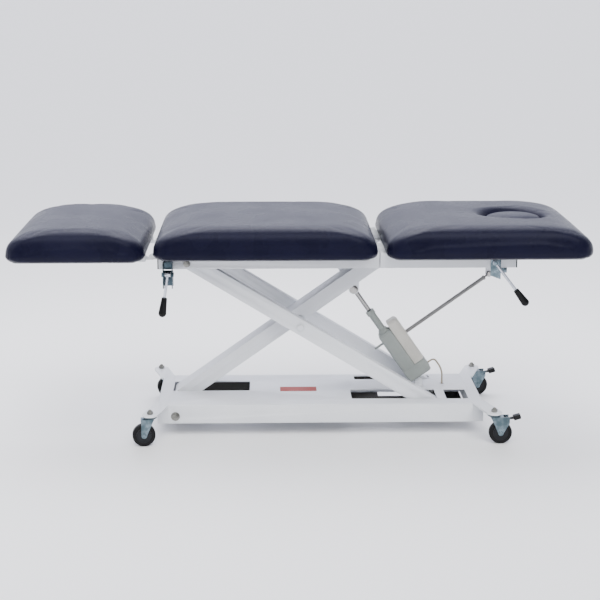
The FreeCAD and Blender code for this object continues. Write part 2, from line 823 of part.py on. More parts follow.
def make_rollers():
    """The lower rollers on the outer arms and the upper rollers on the inner arm."""
    low_near = outer_near_y - side_gap * 2
    low_far = outer_far_y + outer_arm_width + side_gap * 2
    write("low_rollers", roller_set(low_roller_x, low_pivot_z, low_near, low_far))
    near_face = rail_near_y + rail_width + high_track_width - roller_lip
    far_face = rail_far_y - high_track_width + roller_lip
    write("high_rollers", roller_set(high_roller_x, high_pivot_z, near_face, far_face))


def make_high_tracks():
    """Channels inside the rails for the upper rollers, open towards the middle."""
    run = roller_radius + high_track_gap
    z_low = high_pivot_z - run - high_track_sheet
    z_high = high_pivot_z + run + high_track_sheet
    near_low = rail_near_y + rail_width
    channel = block(high_track_start_x, high_track_end_x, near_low, near_low + high_track_width,
                    z_low, z_high)
    hollow = block(high_track_start_x - overrun, high_track_end_x + overrun,
                   near_low + high_track_sheet, near_low + high_track_width + overrun,
                   high_pivot_z - run, high_pivot_z + run)
    relief_x = back_hinge_x - rail_split_gap
    relief_end_x = max(relief_x, high_track_end_x) + overrun
    relief = block(relief_x, relief_end_x, near_low - overrun,
                   near_low + side_gap, z_low - overrun, z_high + overrun)
    near_track = channel.cut(hollow).cut(relief)
    far_high = rail_far_y
    channel = block(high_track_start_x, high_track_end_x, far_high - high_track_width, far_high,
                    z_low, z_high)
    hollow = block(high_track_start_x - overrun, high_track_end_x + overrun,
                   far_high - high_track_width - overrun, far_high - high_track_sheet,
                   high_pivot_z - run, high_pivot_z + run)
    relief = block(relief_x, relief_end_x, far_high - side_gap,
                   far_high + overrun, z_low - overrun, z_high + overrun)
    write("high_tracks", Part.makeCompound([near_track, channel.cut(hollow).cut(relief)]))


def ear_y(side, layer):
    """Low Y of a hinge ear inside a rail: layer 0 lies on the rail, layer 1 beside it."""
    step = layer * (hinge_ear + side_gap)
    if side < 0:
        return rail_near_y + rail_width + step
    return rail_far_y - hinge_ear - step


def ear_plate(x, z, reach_x, low_z, high_z, low_y):
    """A hinge ear with a round nose at the pin and a foot on its rail."""
    nose = rod_y(x, z, low_y, low_y + hinge_ear, hinge_ear_radius)
    side = 1 if reach_x > x else -1
    outline = (
        (x + hinge_ear_radius * side, z),
        (x - hinge_ear_radius * side, z),
        (x - hinge_ear_radius * side / 2, low_z),
        (reach_x, low_z),
        (reach_x, high_z),
    )
    return join(nose, plate_y(outline, low_y, low_y + hinge_ear))


def make_frame_rails():
    """The two rails of the middle section, with the ears of both hinges."""
    rail_end = back_hinge_x - rail_split_gap / 2
    rail_start = rail_foot_x + cap_depth
    for name, y_low, side in (("near", rail_near_y, -1), ("far", rail_far_y, 1)):
        rail = tube_x(rail_start, rail_end, y_low, y_low + rail_width, rail_bottom_z,
                      rail_top_z, tube_wall)
        low_z = rail_top_z - hinge_ear_drop
        ear = ear_plate(back_hinge_x, back_hinge_z, back_hinge_x - hinge_ear_reach, low_z,
                        rail_top_z, ear_y(side, 1))
        foot_x = back_hinge_x - hinge_ear_reach
        pad_y = ear_y(side, 0)
        pad = block(foot_x, rail_end - hinge_ear_radius, pad_y, pad_y + hinge_ear + side_gap,
                    low_z, rail_top_z)
        if side > 0:
            pad = block(foot_x, rail_end - hinge_ear_radius, pad_y - side_gap, pad_y + hinge_ear,
                        low_z, rail_top_z)
        leg_ear = ear_plate(leg_hinge_x, leg_hinge_z, leg_hinge_x + leg_ear_reach,
                            leg_hinge_z - hinge_ear_radius, leg_hinge_z + hinge_ear_radius,
                            ear_y(side, 1))
        leg_low = rail_start + cap_tongue
        leg_y = pad_y if side < 0 else pad_y - side_gap
        leg_pad = block(leg_low, leg_hinge_x + leg_ear_reach, leg_y,
                        leg_y + hinge_ear + side_gap, leg_hinge_z - hinge_ear_radius,
                        leg_hinge_z + hinge_ear_radius)
        rail = join(rail, ear, pad, leg_ear, leg_pad)
        for x, z in ((back_hinge_x, back_hinge_z), (leg_hinge_x, leg_hinge_z)):
            bore_y = ear_y(side, 1)
            rail = rail.cut(rod_y(x, z, bore_y, bore_y + hinge_ear, hinge_pin_radius))
            rail = join(rail, hinge_pin(x, z, side))
        bolt_low = min(y_low, y_low + rail_width) - overrun
        rail = rail.cut(rod_y(high_pivot_x, high_pivot_z, bolt_low,
                              bolt_low + rail_width + 2 * overrun, pivot_radius))
        write("frame_rail_" + name, rail)


def hinge_pin(x, z, side):
    """A hinge pin welded in the fixed ear, with a head past the turning ear."""
    fixed_y = ear_y(side, 1)
    turning_y = ear_y(side, 0)
    low = min(fixed_y, turning_y)
    high = max(fixed_y, turning_y) + hinge_ear
    return rod_y(x, z, low, high, hinge_pin_radius)


def make_frame_crossings():
    """Cross tubes of the middle section, at the foot end and under its middle."""
    y_low = rail_near_y + rail_width
    z_low = rail_bottom_z
    foot_x = leg_hinge_x + leg_ear_reach + fit_gap
    write("frame_cross_foot", tube_y(foot_x, foot_x + cross_width, y_low, rail_far_y, z_low,
                                     z_low + cross_height, tube_wall))
    write("frame_cross_middle", tube_y(frame_cross_mid_x, frame_cross_mid_x + cross_width, y_low,
                                       rail_far_y, z_low, z_low + cross_height, tube_wall))


def cap_pair(face_x, outward):
    """Plastic plugs in the open ends of a pair of rails."""
    caps = []
    for y_low in (rail_near_y, rail_far_y):
        plate_low = min(face_x, face_x + cap_depth * outward)
        plate = block(plate_low, plate_low + cap_depth, y_low, y_low + rail_width, rail_bottom_z,
                      rail_top_z)
        inset = tube_wall + fit_gap
        tongue_low = min(face_x, face_x - cap_tongue * outward)
        tongue = block(tongue_low, tongue_low + cap_tongue, y_low + inset,
                       y_low + rail_width - inset, rail_bottom_z + inset,
                       rail_top_z - inset)
        caps.append(join(plate, tongue))
    return Part.makeCompound(caps)


def make_end_caps():
    """End caps at the foot of the middle rails and the head of the back rails."""
    write("foot_end_caps", cap_pair(rail_foot_x + cap_depth, -1))
    write("head_end_caps", cap_pair(back_rail_end_x - cap_depth, 1))


def make_upper_bolts():
    """Bolts through the rails that the outer arms hang on."""
    bolts = []
    near_head = rail_near_y - pivot_head
    near = rod_y(high_pivot_x, high_pivot_z, near_head, outer_near_y + outer_arm_width,
                 pivot_radius)
    near = join(near, rod_y(high_pivot_x, high_pivot_z, near_head, rail_near_y, cap_radius))
    near = join(near, rod_y(high_pivot_x, high_pivot_z, rail_near_y + rail_width,
                            outer_near_y - side_gap, sleeve_radius))
    bolts.append(near)
    far_head = rail_far_y + rail_width
    far = rod_y(high_pivot_x, high_pivot_z, outer_far_y, far_head + pivot_head, pivot_radius)
    far = join(far, rod_y(high_pivot_x, high_pivot_z, far_head, far_head + pivot_head,
                          cap_radius))
    far = join(far, rod_y(high_pivot_x, high_pivot_z, outer_far_y + outer_arm_width + side_gap,
                          rail_far_y, sleeve_radius))
    bolts.append(far)
    write("upper_pivot_bolts", Part.makeCompound(bolts))


def make_back_frame():
    """Rails and cross tube of the back section, with the turning ears and strut lug."""
    rail_start = back_hinge_x + rail_split_gap / 2
    rail_end = back_rail_end_x - cap_depth
    for name, y_low, side in (("near", rail_near_y, -1), ("far", rail_far_y, 1)):
        rail = tube_x(rail_start, rail_end, y_low, y_low + rail_width, rail_bottom_z,
                      rail_top_z, tube_wall)
        low_z = rail_top_z - hinge_ear_drop
        low_y = ear_y(side, 0)
        ear = ear_plate(back_hinge_x, back_hinge_z, back_hinge_x + hinge_ear_reach, low_z,
                        rail_top_z, low_y)
        ear = ear.cut(rod_y(back_hinge_x, back_hinge_z, low_y - overrun,
                            low_y + hinge_ear + overrun, hinge_pin_radius + fit_gap))
        write("back_rail_" + name, join(rail, ear))
    y_low = rail_near_y + rail_width
    cross = tube_y(strut_eye_x - cross_width / 2, strut_eye_x + cross_width / 2, y_low,
                   rail_far_y, rail_bottom_z, rail_bottom_z + cross_height, tube_wall)
    lug_y = strut_y + strut_eye_half + side_gap
    outline = (
        (strut_eye_x - lug_half, rail_bottom_z),
        (strut_eye_x + lug_half, rail_bottom_z),
        (strut_eye_x + lug_half, strut_eye_z),
        (strut_eye_x - lug_half, strut_eye_z),
    )
    lug = plate_y(outline, lug_y, lug_y + hanger_sheet)
    lug = join(lug, rod_y(strut_eye_x, strut_eye_z, lug_y, lug_y + hanger_sheet, lug_half))
    lug = lug.cut(rod_y(strut_eye_x, strut_eye_z, lug_y - overrun,
                        lug_y + hanger_sheet + overrun, strut_open_radius))
    write("back_cross", join(cross, lug))


def cushion_shape(x_low, x_high, z_low, thick):
    """A domed cushion: drawn in below, widest low on its side, and crowned on top."""
    half = table_width / 2
    wires = []
    for draw_in, share in cushion_levels:
        radius = cushion_corner + draw_in / 4
        wires.append(rounded_wire(x_low + draw_in, x_high - draw_in, -half + draw_in,
                                  half - draw_in, z_low + thick * share, radius))
    return Part.makeLoft(wires, True, True)


def board_shape(x_low, x_high, z_high):
    """The board that a cushion lies on."""
    half = table_width / 2
    return rounded_plate(x_low + board_inset, x_high - board_inset, -half + board_inset,
                         half - board_inset, z_high - board_thick, z_high, board_corner)


def make_leg_section():
    """The leg cushion, its board and its two short rails with hinge ears."""
    write("leg_cushion", cushion_shape(foot_end_x, leg_end_x, leg_bottom_z, cushion_thick))
    write("leg_board", board_shape(foot_end_x, leg_end_x, leg_bottom_z))
    frame = tube_y(leg_cross_x, leg_cross_x + cross_width, rail_near_y + rail_width, rail_far_y,
                   leg_bar_top_z - leg_rail_height, leg_bar_top_z, tube_wall)
    for y_low, side in ((rail_near_y, -1), (rail_far_y, 1)):
        bar = tube_x(leg_rail_start_x, leg_rail_end_x, y_low, y_low + rail_width,
                     leg_bar_top_z - leg_rail_height, leg_bar_top_z, tube_wall)
        low_y = ear_y(side, 0)
        ear = ear_plate(leg_hinge_x, leg_hinge_z, leg_hinge_x - leg_ear_reach,
                        leg_hinge_z - hinge_ear_radius, leg_hinge_z + hinge_ear_radius, low_y)
        ear = ear.cut(rod_y(leg_hinge_x, leg_hinge_z, low_y - overrun,
                            low_y + hinge_ear + overrun, hinge_pin_radius + fit_gap))
        frame = join(frame, bar, ear)
    write("leg_frame", frame)


def make_middle_section():
    """The middle cushion and its board."""
    write("middle_cushion", cushion_shape(middle_foot_x, middle_head_x, platform_height,
                                          cushion_thick))
    write("middle_board", board_shape(middle_foot_x, middle_head_x, platform_height))


def make_back_section():
    """The back cushion with its face hole, the board and the padded plug."""
    cushion = cushion_shape(back_start_x, head_end_x, platform_height, cushion_thick)
    levels = (
        (hole_roll, -overrun),
        (hole_roll, cushion_thick * hole_roll_share),
        (hole_roll / 2, cushion_thick * hole_edge_share),
        (-hole_roll, cushion_thick + overrun),
    )
    wires = []
    for draw_in, rise in levels:
        wires.append(oval_wire(face_x, face_half_length - draw_in, face_half_width - draw_in,
                               platform_height + rise))
    write("back_cushion", cushion.cut(Part.makeLoft(wires, True, True)))
    board_hole = rounded_plate(face_x - board_hole_half_x, face_x + board_hole_half_x,
                               -board_hole_half_y, board_hole_half_y, rail_top_z - overrun,
                               platform_height + overrun, board_hole_corner)
    write("back_board", board_shape(back_start_x, head_end_x, platform_height).cut(board_hole))
    plug_height = plug_top_z - plug_bottom_z
    half_x = face_half_length - hole_roll - plug_gap
    half_y = face_half_width - hole_roll - plug_gap
    levels = (
        (plug_shoulder_in, 0),
        (0, plug_low_share),
        (0, plug_side_share),
        (plug_round_in, plug_round_share),
        (plug_shoulder_in, plug_shoulder_share),
        (plug_crown_in, 1),
    )
    wires = []
    for draw_in, share in levels:
        wires.append(oval_wire(face_x, half_x - draw_in, half_y - draw_in,
                               plug_bottom_z + plug_height * share))
    plug = Part.makeLoft(wires, True, True)
    stand = oval_prism(face_x, half_x - plug_shoulder_in, half_y - plug_shoulder_in,
                       platform_height + side_gap, plug_bottom_z + plug_shoulder_in)
    write("face_plug", join(plug, stand))


def along_actuator(shape):
    """Turn a shape built up from the foot pin, and put it on the actuator's line."""
    run = Vec(eye_pin_x - foot_pin_x, 0, eye_pin_z - foot_pin_z)
    tilt = math.degrees(math.atan2(run.x, run.z))
    placed = shape.copy()
    placed.rotate(Vec(0, 0, 0), Vec(0, 1, 0), tilt)
    placed.translate(Vec(foot_pin_x, actuator_y, foot_pin_z))
    return placed


def actuator_length():
    """Distance between the actuator's two pins."""
    return math.hypot(eye_pin_x - foot_pin_x, eye_pin_z - foot_pin_z)


def actuator_point(across, along):
    """X and Z of a point given across and along the actuator's line."""
    length = actuator_length()
    along_x = (eye_pin_x - foot_pin_x) / length
    along_z = (eye_pin_z - foot_pin_z) / length
    return (foot_pin_x + along_x * along + along_z * across,
            foot_pin_z + along_z * along - along_x * across)


def make_actuator():
    """The lifting actuator: gearbox with spindle tube, motor cover, rod and brackets."""
    depth = housing_half_depth
    gear = block(-housing_back, motor_front, -depth, depth, gear_start, gear_end)
    gear = gear.makeFillet(housing_round, gear.Edges)
    spindle = block(-housing_back, seam_offset, -depth, depth, gear_end - housing_round,
                    spindle_end)
    spindle = spindle.makeFillet(housing_round, spindle.Edges)
    tail = rod_y(0, 0, -eye_half, eye_half, eye_radius)
    tail_neck = block(-eye_radius, eye_radius, -eye_half, eye_half, 0, gear_start + housing_round)
    nose = Part.makeCone(housing_back - overrun, collar_radius, nose_length,
                         Vec(0, 0, spindle_end - fit_gap), Vec(0, 0, 1))
    tube = rod_z(0, 0, spindle_end - nose_length, tube_end, tube_radius)
    collar = rod_z(0, 0, tube_end - collar_length, tube_end, collar_radius)
    stub = rod_x(-housing_back - plug_stub_length, -housing_back + overrun, 0, plug_stub_along,
                 plug_stub_radius)
    housing = join(gear, spindle, tail, tail_neck, nose, tube, collar, stub)
    bore = rod_z(0, 0, tube_end - rod_inside - overrun, tube_end + overrun, rod_radius + fit_gap)
    pin_bore = rod_y(0, 0, -eye_half - overrun, eye_half + overrun, pin_radius + fit_gap)
    write("actuator_housing", along_actuator(housing.cut(bore).cut(pin_bore)))
    cover_depth = motor_half_depth
    cover = block(seam_offset, motor_front, -cover_depth, cover_depth, gear_end, motor_end)
    long_edges = [edge for edge in cover.Edges if edge.BoundBox.ZMax > gear_end + fit_gap
                  and edge.CenterOfMass.x > seam_offset + fit_gap]
    cover = cover.makeFillet(motor_round, long_edges)
    write("motor_cover", along_actuator(cover))
    length = actuator_length()
    rod = rod_z(0, 0, tube_end - rod_inside, length - eye_radius / 2, rod_radius)
    eye = rod_y(0, length, -eye_half, eye_half, eye_radius)
    pin_half = eye_half + bracket_gap + bracket_sheet + side_gap
    pin = rod_y(0, length, -pin_half - washer, pin_half + washer, pin_radius)
    rod = join(rod, eye, pin)
    for side in (-1, 1):
        disc_y = min(pin_half * side, (pin_half + washer) * side)
        rod = join(rod, rod_y(0, length, disc_y, disc_y + washer, washer_radius))
    write("actuator_rod", along_actuator(rod))


def make_actuator_foot():
    """The foot bracket on the base plate, with the pin through the actuator's tail."""
    half = bracket_width / 2
    near = actuator_y - foot_plate_length / 2
    plate = block(foot_pin_x - half, foot_pin_x + half, near, near + foot_plate_length,
                  base_top_z, base_top_z + washer)
    bracket = plate
    for side in (-1, 1):
        face = actuator_y + side * (eye_half + bracket_gap)
        low_y = min(face, face + side * bracket_sheet)
        ear = block(foot_pin_x - eye_radius, foot_pin_x + eye_radius, low_y,
                    low_y + bracket_sheet, base_top_z, foot_pin_z)
        nose = rod_y(foot_pin_x, foot_pin_z, low_y, low_y + bracket_sheet, eye_radius)
        bracket = join(bracket, ear, nose)
    reach = eye_half + bracket_gap + bracket_sheet + washer
    pin = rod_y(foot_pin_x, foot_pin_z, actuator_y - reach, actuator_y + reach, pin_radius)
    write("actuator_foot_bracket", join(bracket, pin))


def lead_path(points, y):
    """Straight runs joined by tangent arcs, each as large as its two runs allow."""
    corners = [Vec(x, y, z) for x, z in points]
    edges = []
    radii = []
    last = corners[0]
    for index in range(1, len(corners) - 1):
        before = corners[index - 1].sub(corners[index])
        after = corners[index + 1].sub(corners[index])
        turn = math.pi - before.getAngle(after)
        shorter = min(before.Length, after.Length)
        reach = lead_bend_share * shorter
        radii.append(round(reach / math.tan(turn / 2), 1))
        before.normalize()
        after.normalize()
        start = corners[index].add(before * reach)
        end = corners[index].add(after * reach)
        radius = reach / math.tan(turn / 2)
        bisector = before.add(after)
        bisector.normalize()
        sag = radius / math.cos(turn / 2) - radius
        edges.append(Part.LineSegment(last, start).toShape())
        edges.append(Part.Arc(start, corners[index].add(bisector * sag), end).toShape())
        last = end
    edges.append(Part.LineSegment(last, corners[-1]).toShape())
    print("lead bend radii", radii)
    return Part.Wire(edges)


def make_lead():
    """The lead that runs from the actuator's gearbox through the base plate."""
    points = (
        actuator_point(motor_front, lead_along),
        actuator_point(motor_front + lead_out, lead_along),
        (lead_drop_x, lead_drop_z),
        (lead_drop_x, lead_end_z),
    )
    path = lead_path(points, lead_y)
    start = path.Edges[0]
    direction = start.tangentAt(start.FirstParameter)
    circle = Part.Circle(start.valueAt(start.FirstParameter), direction, lead_radius)
    profile = Part.Wire([circle.toShape()])
    tube = path.makePipeShell([profile], True, False)
    expected = math.pi * lead_radius * lead_radius * path.Length
    print("lead length", round(path.Length, 1), "volume share", round(tube.Volume / expected, 4))
    write("actuator_lead", tube)


def along_strut(shape):
    """Turn a shape built up from the strut's lower eye onto the strut's line."""
    tilt = math.degrees(math.atan2(strut_eye_x - strut_foot_x, strut_eye_z - strut_foot_z))
    placed = shape.copy()
    placed.rotate(Vec(0, 0, 0), Vec(0, 1, 0), tilt)
    placed.translate(Vec(strut_foot_x, strut_y, strut_foot_z))
    return placed


def make_strut():
    """The gas strut of the back section and the hanger that holds its lower eye."""
    half = strut_eye_half
    length = math.hypot(strut_eye_x - strut_foot_x, strut_eye_z - strut_foot_z)
    eye = rod_y(0, 0, -half, half, strut_eye_radius)
    neck = rod_z(0, 0, 0, strut_tube_start, strut_rod_radius)
    tube = rod_z(0, 0, strut_tube_start, strut_tube_end, strut_tube_radius)
    collar = rod_z(0, 0, strut_tube_end - strut_collar_length, strut_tube_end,
                   strut_collar_radius - fit_gap)
    cylinder = join(eye, neck, tube, collar)
    bore = rod_z(0, 0, strut_tube_end - strut_rod_inside - overrun, strut_tube_end + overrun,
                 strut_rod_radius + fit_gap)
    cylinder = cylinder.cut(bore)
    cylinder = cylinder.cut(rod_y(0, 0, -half - overrun, half + overrun,
                                  strut_pin_radius + fit_gap))
    write("strut_cylinder", along_strut(cylinder))
    rod = rod_z(0, 0, strut_tube_end - strut_rod_inside, length, strut_rod_radius)
    top_eye = rod_y(0, length, -half, half, strut_eye_radius)
    pin_high = half + side_gap + hanger_sheet + side_gap + washer
    pin = rod_y(0, length, -half, pin_high, strut_pin_radius)
    disc = rod_y(0, length, pin_high - washer, pin_high, strut_washer_radius)
    write("strut_rod", along_strut(join(rod, top_eye, pin, disc)))
    run = Vec(eye_pin_x - foot_pin_x, 0, eye_pin_z - foot_pin_z)
    run.normalize()
    top_z = rail_bottom_z
    top_x = frame_cross_mid_x + cross_width / 2
    bar_end = Vec(strut_foot_x, 0, strut_foot_z)
    bar_start = Vec(top_x, 0, top_z)
    bar_run = bar_end.sub(bar_start)
    bar_run.normalize()
    across = Vec(-bar_run.z, 0, bar_run.x) * hanger_half
    corners = (bar_start.add(across), bar_end.add(across), bar_end.sub(across),
               bar_start.sub(across))
    bar = plate_y([(corner.x, corner.z) for corner in corners], hanger_y,
                  hanger_y + hanger_sheet)
    head = block(frame_cross_mid_x, frame_cross_mid_x + cross_width, hanger_y,
                 hanger_y + hanger_sheet, top_z - 2 * hanger_half, top_z)
    foot = rod_y(strut_foot_x, strut_foot_z, hanger_y, hanger_y + hanger_sheet, hanger_half)
    low_y = strut_y - strut_eye_half - washer
    pin = rod_y(strut_foot_x, strut_foot_z, low_y, hanger_y, strut_pin_radius)
    cap = rod_y(strut_foot_x, strut_foot_z, low_y, low_y + washer - side_gap,
                strut_eye_radius - fit_gap)
    hanger = join(bar, head, foot, pin, cap)
    clip = block(foot_end_x, head_end_x, low_y - overrun, hanger_y + 2 * hanger_sheet, top_z,
                 platform_height)
    write("strut_hanger", hanger.cut(clip))


def grip_shape(start, end):
    """A tapered moulded grip with a round end, on the last stretch of a lever."""
    run = end.sub(start)
    length = run.Length
    body = Part.makeCone(grip_small, grip_large, length - grip_large, start, run)
    run.normalize()
    ball_at = start.add(run * (length - grip_large))
    ball = Part.makeSphere(grip_large, ball_at)
    bore = Part.makeCylinder(lever_radius + fit_gap, grip_cover + fit_gap, start, run)
    return join(body, ball).cut(bore)


def make_leg_lever():
    """The release lever of the leg section, in a bracket with two cheeks."""
    face_y = rail_near_y
    out_y = face_y - leg_bracket_out
    prong_y = face_y - leg_prong_out
    back = block(leg_lever_x - leg_bracket_half, leg_lever_x + leg_bracket_half,
                 face_y - leg_bracket_sheet, face_y, rail_bottom_z, leg_bracket_top_z)
    bracket = back
    for side in (-1, 1):
        inner = leg_lever_x + (leg_bracket_half - leg_bracket_sheet) * side
        low_x = min(inner, inner + leg_bracket_sheet * side)
        upper = block(low_x, low_x + leg_bracket_sheet, out_y, face_y, rail_bottom_z,
                      leg_bracket_top_z)
        prong = block(low_x, low_x + leg_bracket_sheet, out_y, prong_y, leg_bracket_low_z,
                      rail_bottom_z)
        bracket = join(bracket, upper, prong)
    pivot_y = out_y + lever_hub_radius
    bolt_low = leg_lever_x - leg_bracket_half - lever_bolt_radius
    bolt_high = leg_lever_x + leg_bracket_half + lever_bolt_radius
    bolt = rod_x(bolt_low, bolt_high, pivot_y, leg_lever_z, lever_bolt_radius)
    head = rod_x(bolt_high - lever_bolt_radius, bolt_high, pivot_y, leg_lever_z, lever_bolt_head)
    tail = rod_x(bolt_low, bolt_low + lever_bolt_radius, pivot_y, leg_lever_z, lever_bolt_head)
    write("leg_lever_bracket", join(bracket, bolt, head, tail))
    start = Vec(leg_lever_x, pivot_y, leg_lever_z)
    rod_end = Vec(leg_lever_end_x, pivot_y, leg_lever_end_z)
    run = rod_end.sub(start)
    run.normalize()
    hub = rod_x(leg_lever_x - lever_hub_half, leg_lever_x + lever_hub_half, pivot_y,
                leg_lever_z, lever_hub_radius)
    rod = rod_between(start, rod_end.add(run * grip_cover), lever_radius)
    bore = rod_x(bolt_low, bolt_high, pivot_y, leg_lever_z, lever_bolt_radius + fit_gap)
    write("leg_lever_rod", join(hub, rod).cut(bore))
    write("leg_lever_grip", grip_shape(rod_end, rod_end.add(run * grip_length)))


def make_back_lever():
    """The release lever of the back section, on a plate outside the near rail."""
    face_y = rail_near_y
    out_y = face_y - back_bracket_sheet
    outline = (
        (back_bracket_foot_x, back_bracket_top_z),
        (back_bracket_head_x, back_bracket_top_z),
        (back_bracket_head_x, back_bracket_low_z),
        (back_bracket_foot_x, back_bracket_low_z + back_bracket_slant),
    )
    plate = plate_y(outline, out_y, face_y)
    gusset = plate_y(((back_bracket_head_x, rail_bottom_z),
                      (back_bracket_head_x + gusset_reach, rail_bottom_z),
                      (back_bracket_head_x + gusset_reach, gusset_low_z),
                      (back_bracket_head_x, gusset_low_z)), out_y, face_y)
    hub_low = out_y - lever_plate_gap - 2 * lever_hub_radius
    bolt_low = hub_low - lever_plate_gap - lever_bolt_radius
    bolt = rod_y(back_lever_x, back_lever_z, bolt_low, out_y, lever_bolt_radius)
    head = rod_y(back_lever_x, back_lever_z, bolt_low, bolt_low + lever_bolt_radius,
                 lever_bolt_head)
    write("back_lever_bracket", join(plate, gusset, bolt, head))
    rod_y_mid = hub_low + lever_hub_radius
    start = Vec(back_lever_x, rod_y_mid, back_lever_z)
    rod_end = Vec(back_lever_end_x, rod_y_mid, back_lever_end_z)
    run = rod_end.sub(start)
    run.normalize()
    hub = rod_y(back_lever_x, back_lever_z, hub_low, hub_low + 2 * lever_hub_radius,
                lever_hub_radius)
    rod = rod_between(start, rod_end.add(run * grip_cover), lever_radius)
    bore = rod_y(back_lever_x, back_lever_z, bolt_low - overrun, out_y,
                 lever_bolt_radius + fit_gap)
    write("back_lever_rod", join(hub, rod).cut(bore))
    write("back_lever_grip", grip_shape(rod_end, rod_end.add(run * grip_length)))


make_base()
make_castor_plates()
make_castors()
make_low_tracks()
make_low_pivot()
make_inner_arm()
make_outer_arms()
make_rollers()
make_high_tracks()
make_frame_rails()
make_frame_crossings()
make_end_caps()
make_upper_bolts()
make_back_frame()
make_leg_section()
make_middle_section()
make_back_section()
make_actuator()
make_actuator_foot()
make_lead()
make_strut()
make_leg_lever()
make_back_lever()
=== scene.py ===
import math

import bmesh
import bpy
import numpy as np
from mathutils import Matrix, Vector


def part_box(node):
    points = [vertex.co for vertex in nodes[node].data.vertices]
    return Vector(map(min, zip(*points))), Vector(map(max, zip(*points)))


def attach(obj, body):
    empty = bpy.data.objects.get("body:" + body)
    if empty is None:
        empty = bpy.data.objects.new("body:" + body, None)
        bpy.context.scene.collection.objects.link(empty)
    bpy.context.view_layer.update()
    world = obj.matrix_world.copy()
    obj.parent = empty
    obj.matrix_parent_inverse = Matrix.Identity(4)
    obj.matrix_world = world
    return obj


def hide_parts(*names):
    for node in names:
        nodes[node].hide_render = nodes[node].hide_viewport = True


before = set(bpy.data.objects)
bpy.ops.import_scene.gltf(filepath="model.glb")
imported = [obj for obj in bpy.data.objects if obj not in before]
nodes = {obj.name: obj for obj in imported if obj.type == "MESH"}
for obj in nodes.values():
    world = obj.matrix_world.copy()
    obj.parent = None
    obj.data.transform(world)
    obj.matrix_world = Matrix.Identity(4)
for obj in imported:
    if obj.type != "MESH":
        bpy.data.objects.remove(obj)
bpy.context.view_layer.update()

# Places that the dressing shares with the CAD part, in metres; a castor has x, y and turn
PLATFORM_TOP = 0.621
LEG_BOARD_TOP = 0.616
BOARD_THICK = 0.010
BASE_TOP = 0.106
BASE_FOOT_X = -0.436
BASE_HEAD_X = 0.579
BASE_HALF_WIDTH = 0.181
CASTORS = {
    "foot_near": (-0.487, -0.277, 188.0),
    "foot_far": (-0.487, 0.277, 10.0),
    "head_near": (0.635, -0.277, 0.0),
    "head_far": (0.635, 0.277, 6.0),
}
CASTOR_TRAIL = 0.021
WHEEL_RADIUS = 0.0375
WHEEL_HALF = 0.012
HUB_FACE_IN = 0.0025
HUB_STEPS = ((0.0095, 0.0), (0.0095, 0.0012), (0.0125, 0.0016), (0.0155, 0.0006),
             (0.0205, 0.0006), (0.0230, 0.0019), (0.0247, 0.0019), (0.0247, 0.0))
FACE_X = 0.720
FACE_HALF_LENGTH = 0.108
FACE_HALF_WIDTH = 0.095

# Form of the cushions: how far the crown runs in, the wrap round the board, and the filling
END_REACH = 0.181
SIDE_REACH = 0.046
END_POWERS = (3.15, 1 / 1.88)
SIDE_POWERS = (5.0, 1 / 1.6)
RIM_SHARE = 0.08
LEVEL_SHARES = (0.0, 0.04, 0.09, 0.16, 0.25, 0.35, 0.45, 0.55, 0.64, 0.72, 0.79, 0.85, 0.90,
                0.935, 0.96, 0.98, 0.992, 1.0)
RIM_IN = 0.003
CORNER_RADIUS = 0.054
SKIRT = 0.0094
SKIRT_RINGS = ((0.024, 0.040, 1.0), (0.010, 0.050, 0.55))
LEG_TRIM = 0.004
CUSHION_NET = 0.0072
CUSHION_SWELL = 0.0022
CUSHION_PRESSURE = 3.0
CUSHION_CROWN = 0.002
CUSHION_TUCK = 0.0022
PLUG_NET = 0.0035
PLUG_SWELL = 0.003
PLUG_PRESSURE = 2.0
PLUG_RISE = 0.0055
PLUG_DOME = 0.0035
FILL_FRAMES = 20
FILL_STIFFNESS = 25.0
SEAT_HEIGHT = 0.010
CORNER_IN = 0.046
CORNER_REACH = 0.075

# The cutter of the face hole: share of the height, and how far the rim rolls in
HOLE_STEPS = 72
HOLE_RINGS = ((-0.3, 0.011), (0.52, 0.011), (0.70, 0.008), (0.82, 0.003), (0.90, -0.004),
              (0.95, -0.012), (1.1, -0.020))

# Rows of the screws in the three boards
SCREW_ROWS_Y = (-0.21, 0.24)
MIDDLE_SCREWS_X = (-0.41, -0.30, -0.10, 0.02, 0.19)
BACK_SCREWS_X = (0.34, 0.50, 0.69, 0.87)
LEG_SCREWS_X = (-0.88, -0.70, -0.56)
WELD_DROP = 0.005
WELD_RADIUS = 0.0016

# The crossbars' end plates, the dark pieces inside the base that paint the shade seen through the
# slots, and the strip on the base plate
END_PLATE_THICK = 0.0012
END_PLATE_EASE = 0.0004
END_PLATE_SHORT = 0.0006
# Sizes of the dark wall lining and low sheets that paint the shade inside the base
SHADE_WALL_END_IN = 0.012
SHADE_WALL_EDGE_IN = 0.0055
SHADE_SHEET_MIDDLE_Y = (0.070, 0.1185)
SHADE_SHEET_FAR_Y = 0.1187
SHADE_SHEETS_X = {"middle": (0.17, 0.575), "foot": (0.17, 0.285), "head": (0.512, 0.575)}
STRIP_LOW = (-0.062, -0.025, BASE_TOP)
STRIP_HIGH = (0.063, 0.026, 0.1066)

# The camera, as the photo was taken, and the floor
CAMERA_PLACE = (-0.1041, -4.8732, 1.5453)
CAMERA_YAW = math.radians(1.3)
CAMERA_PITCH = math.radians(13.0)
CAMERA_LENS = 88.56
FLOOR_REACH = 60.0


def link_in(tree, socket, value):
    """Feeds a socket from another socket, or sets its plain value."""
    if isinstance(value, bpy.types.NodeSocket):
        tree.links.new(value, socket)
    else:
        socket.default_value = value


def add(tree, kind, settings=None, **inputs):
    """Adds a node, with its settings and its inputs by name."""
    node = tree.nodes.new(kind)
    for key, value in (settings or {}).items():
        setattr(node, key, value)
    for key, value in inputs.items():
        link_in(tree, node.inputs[key.replace("_", " ")], value)
    return node


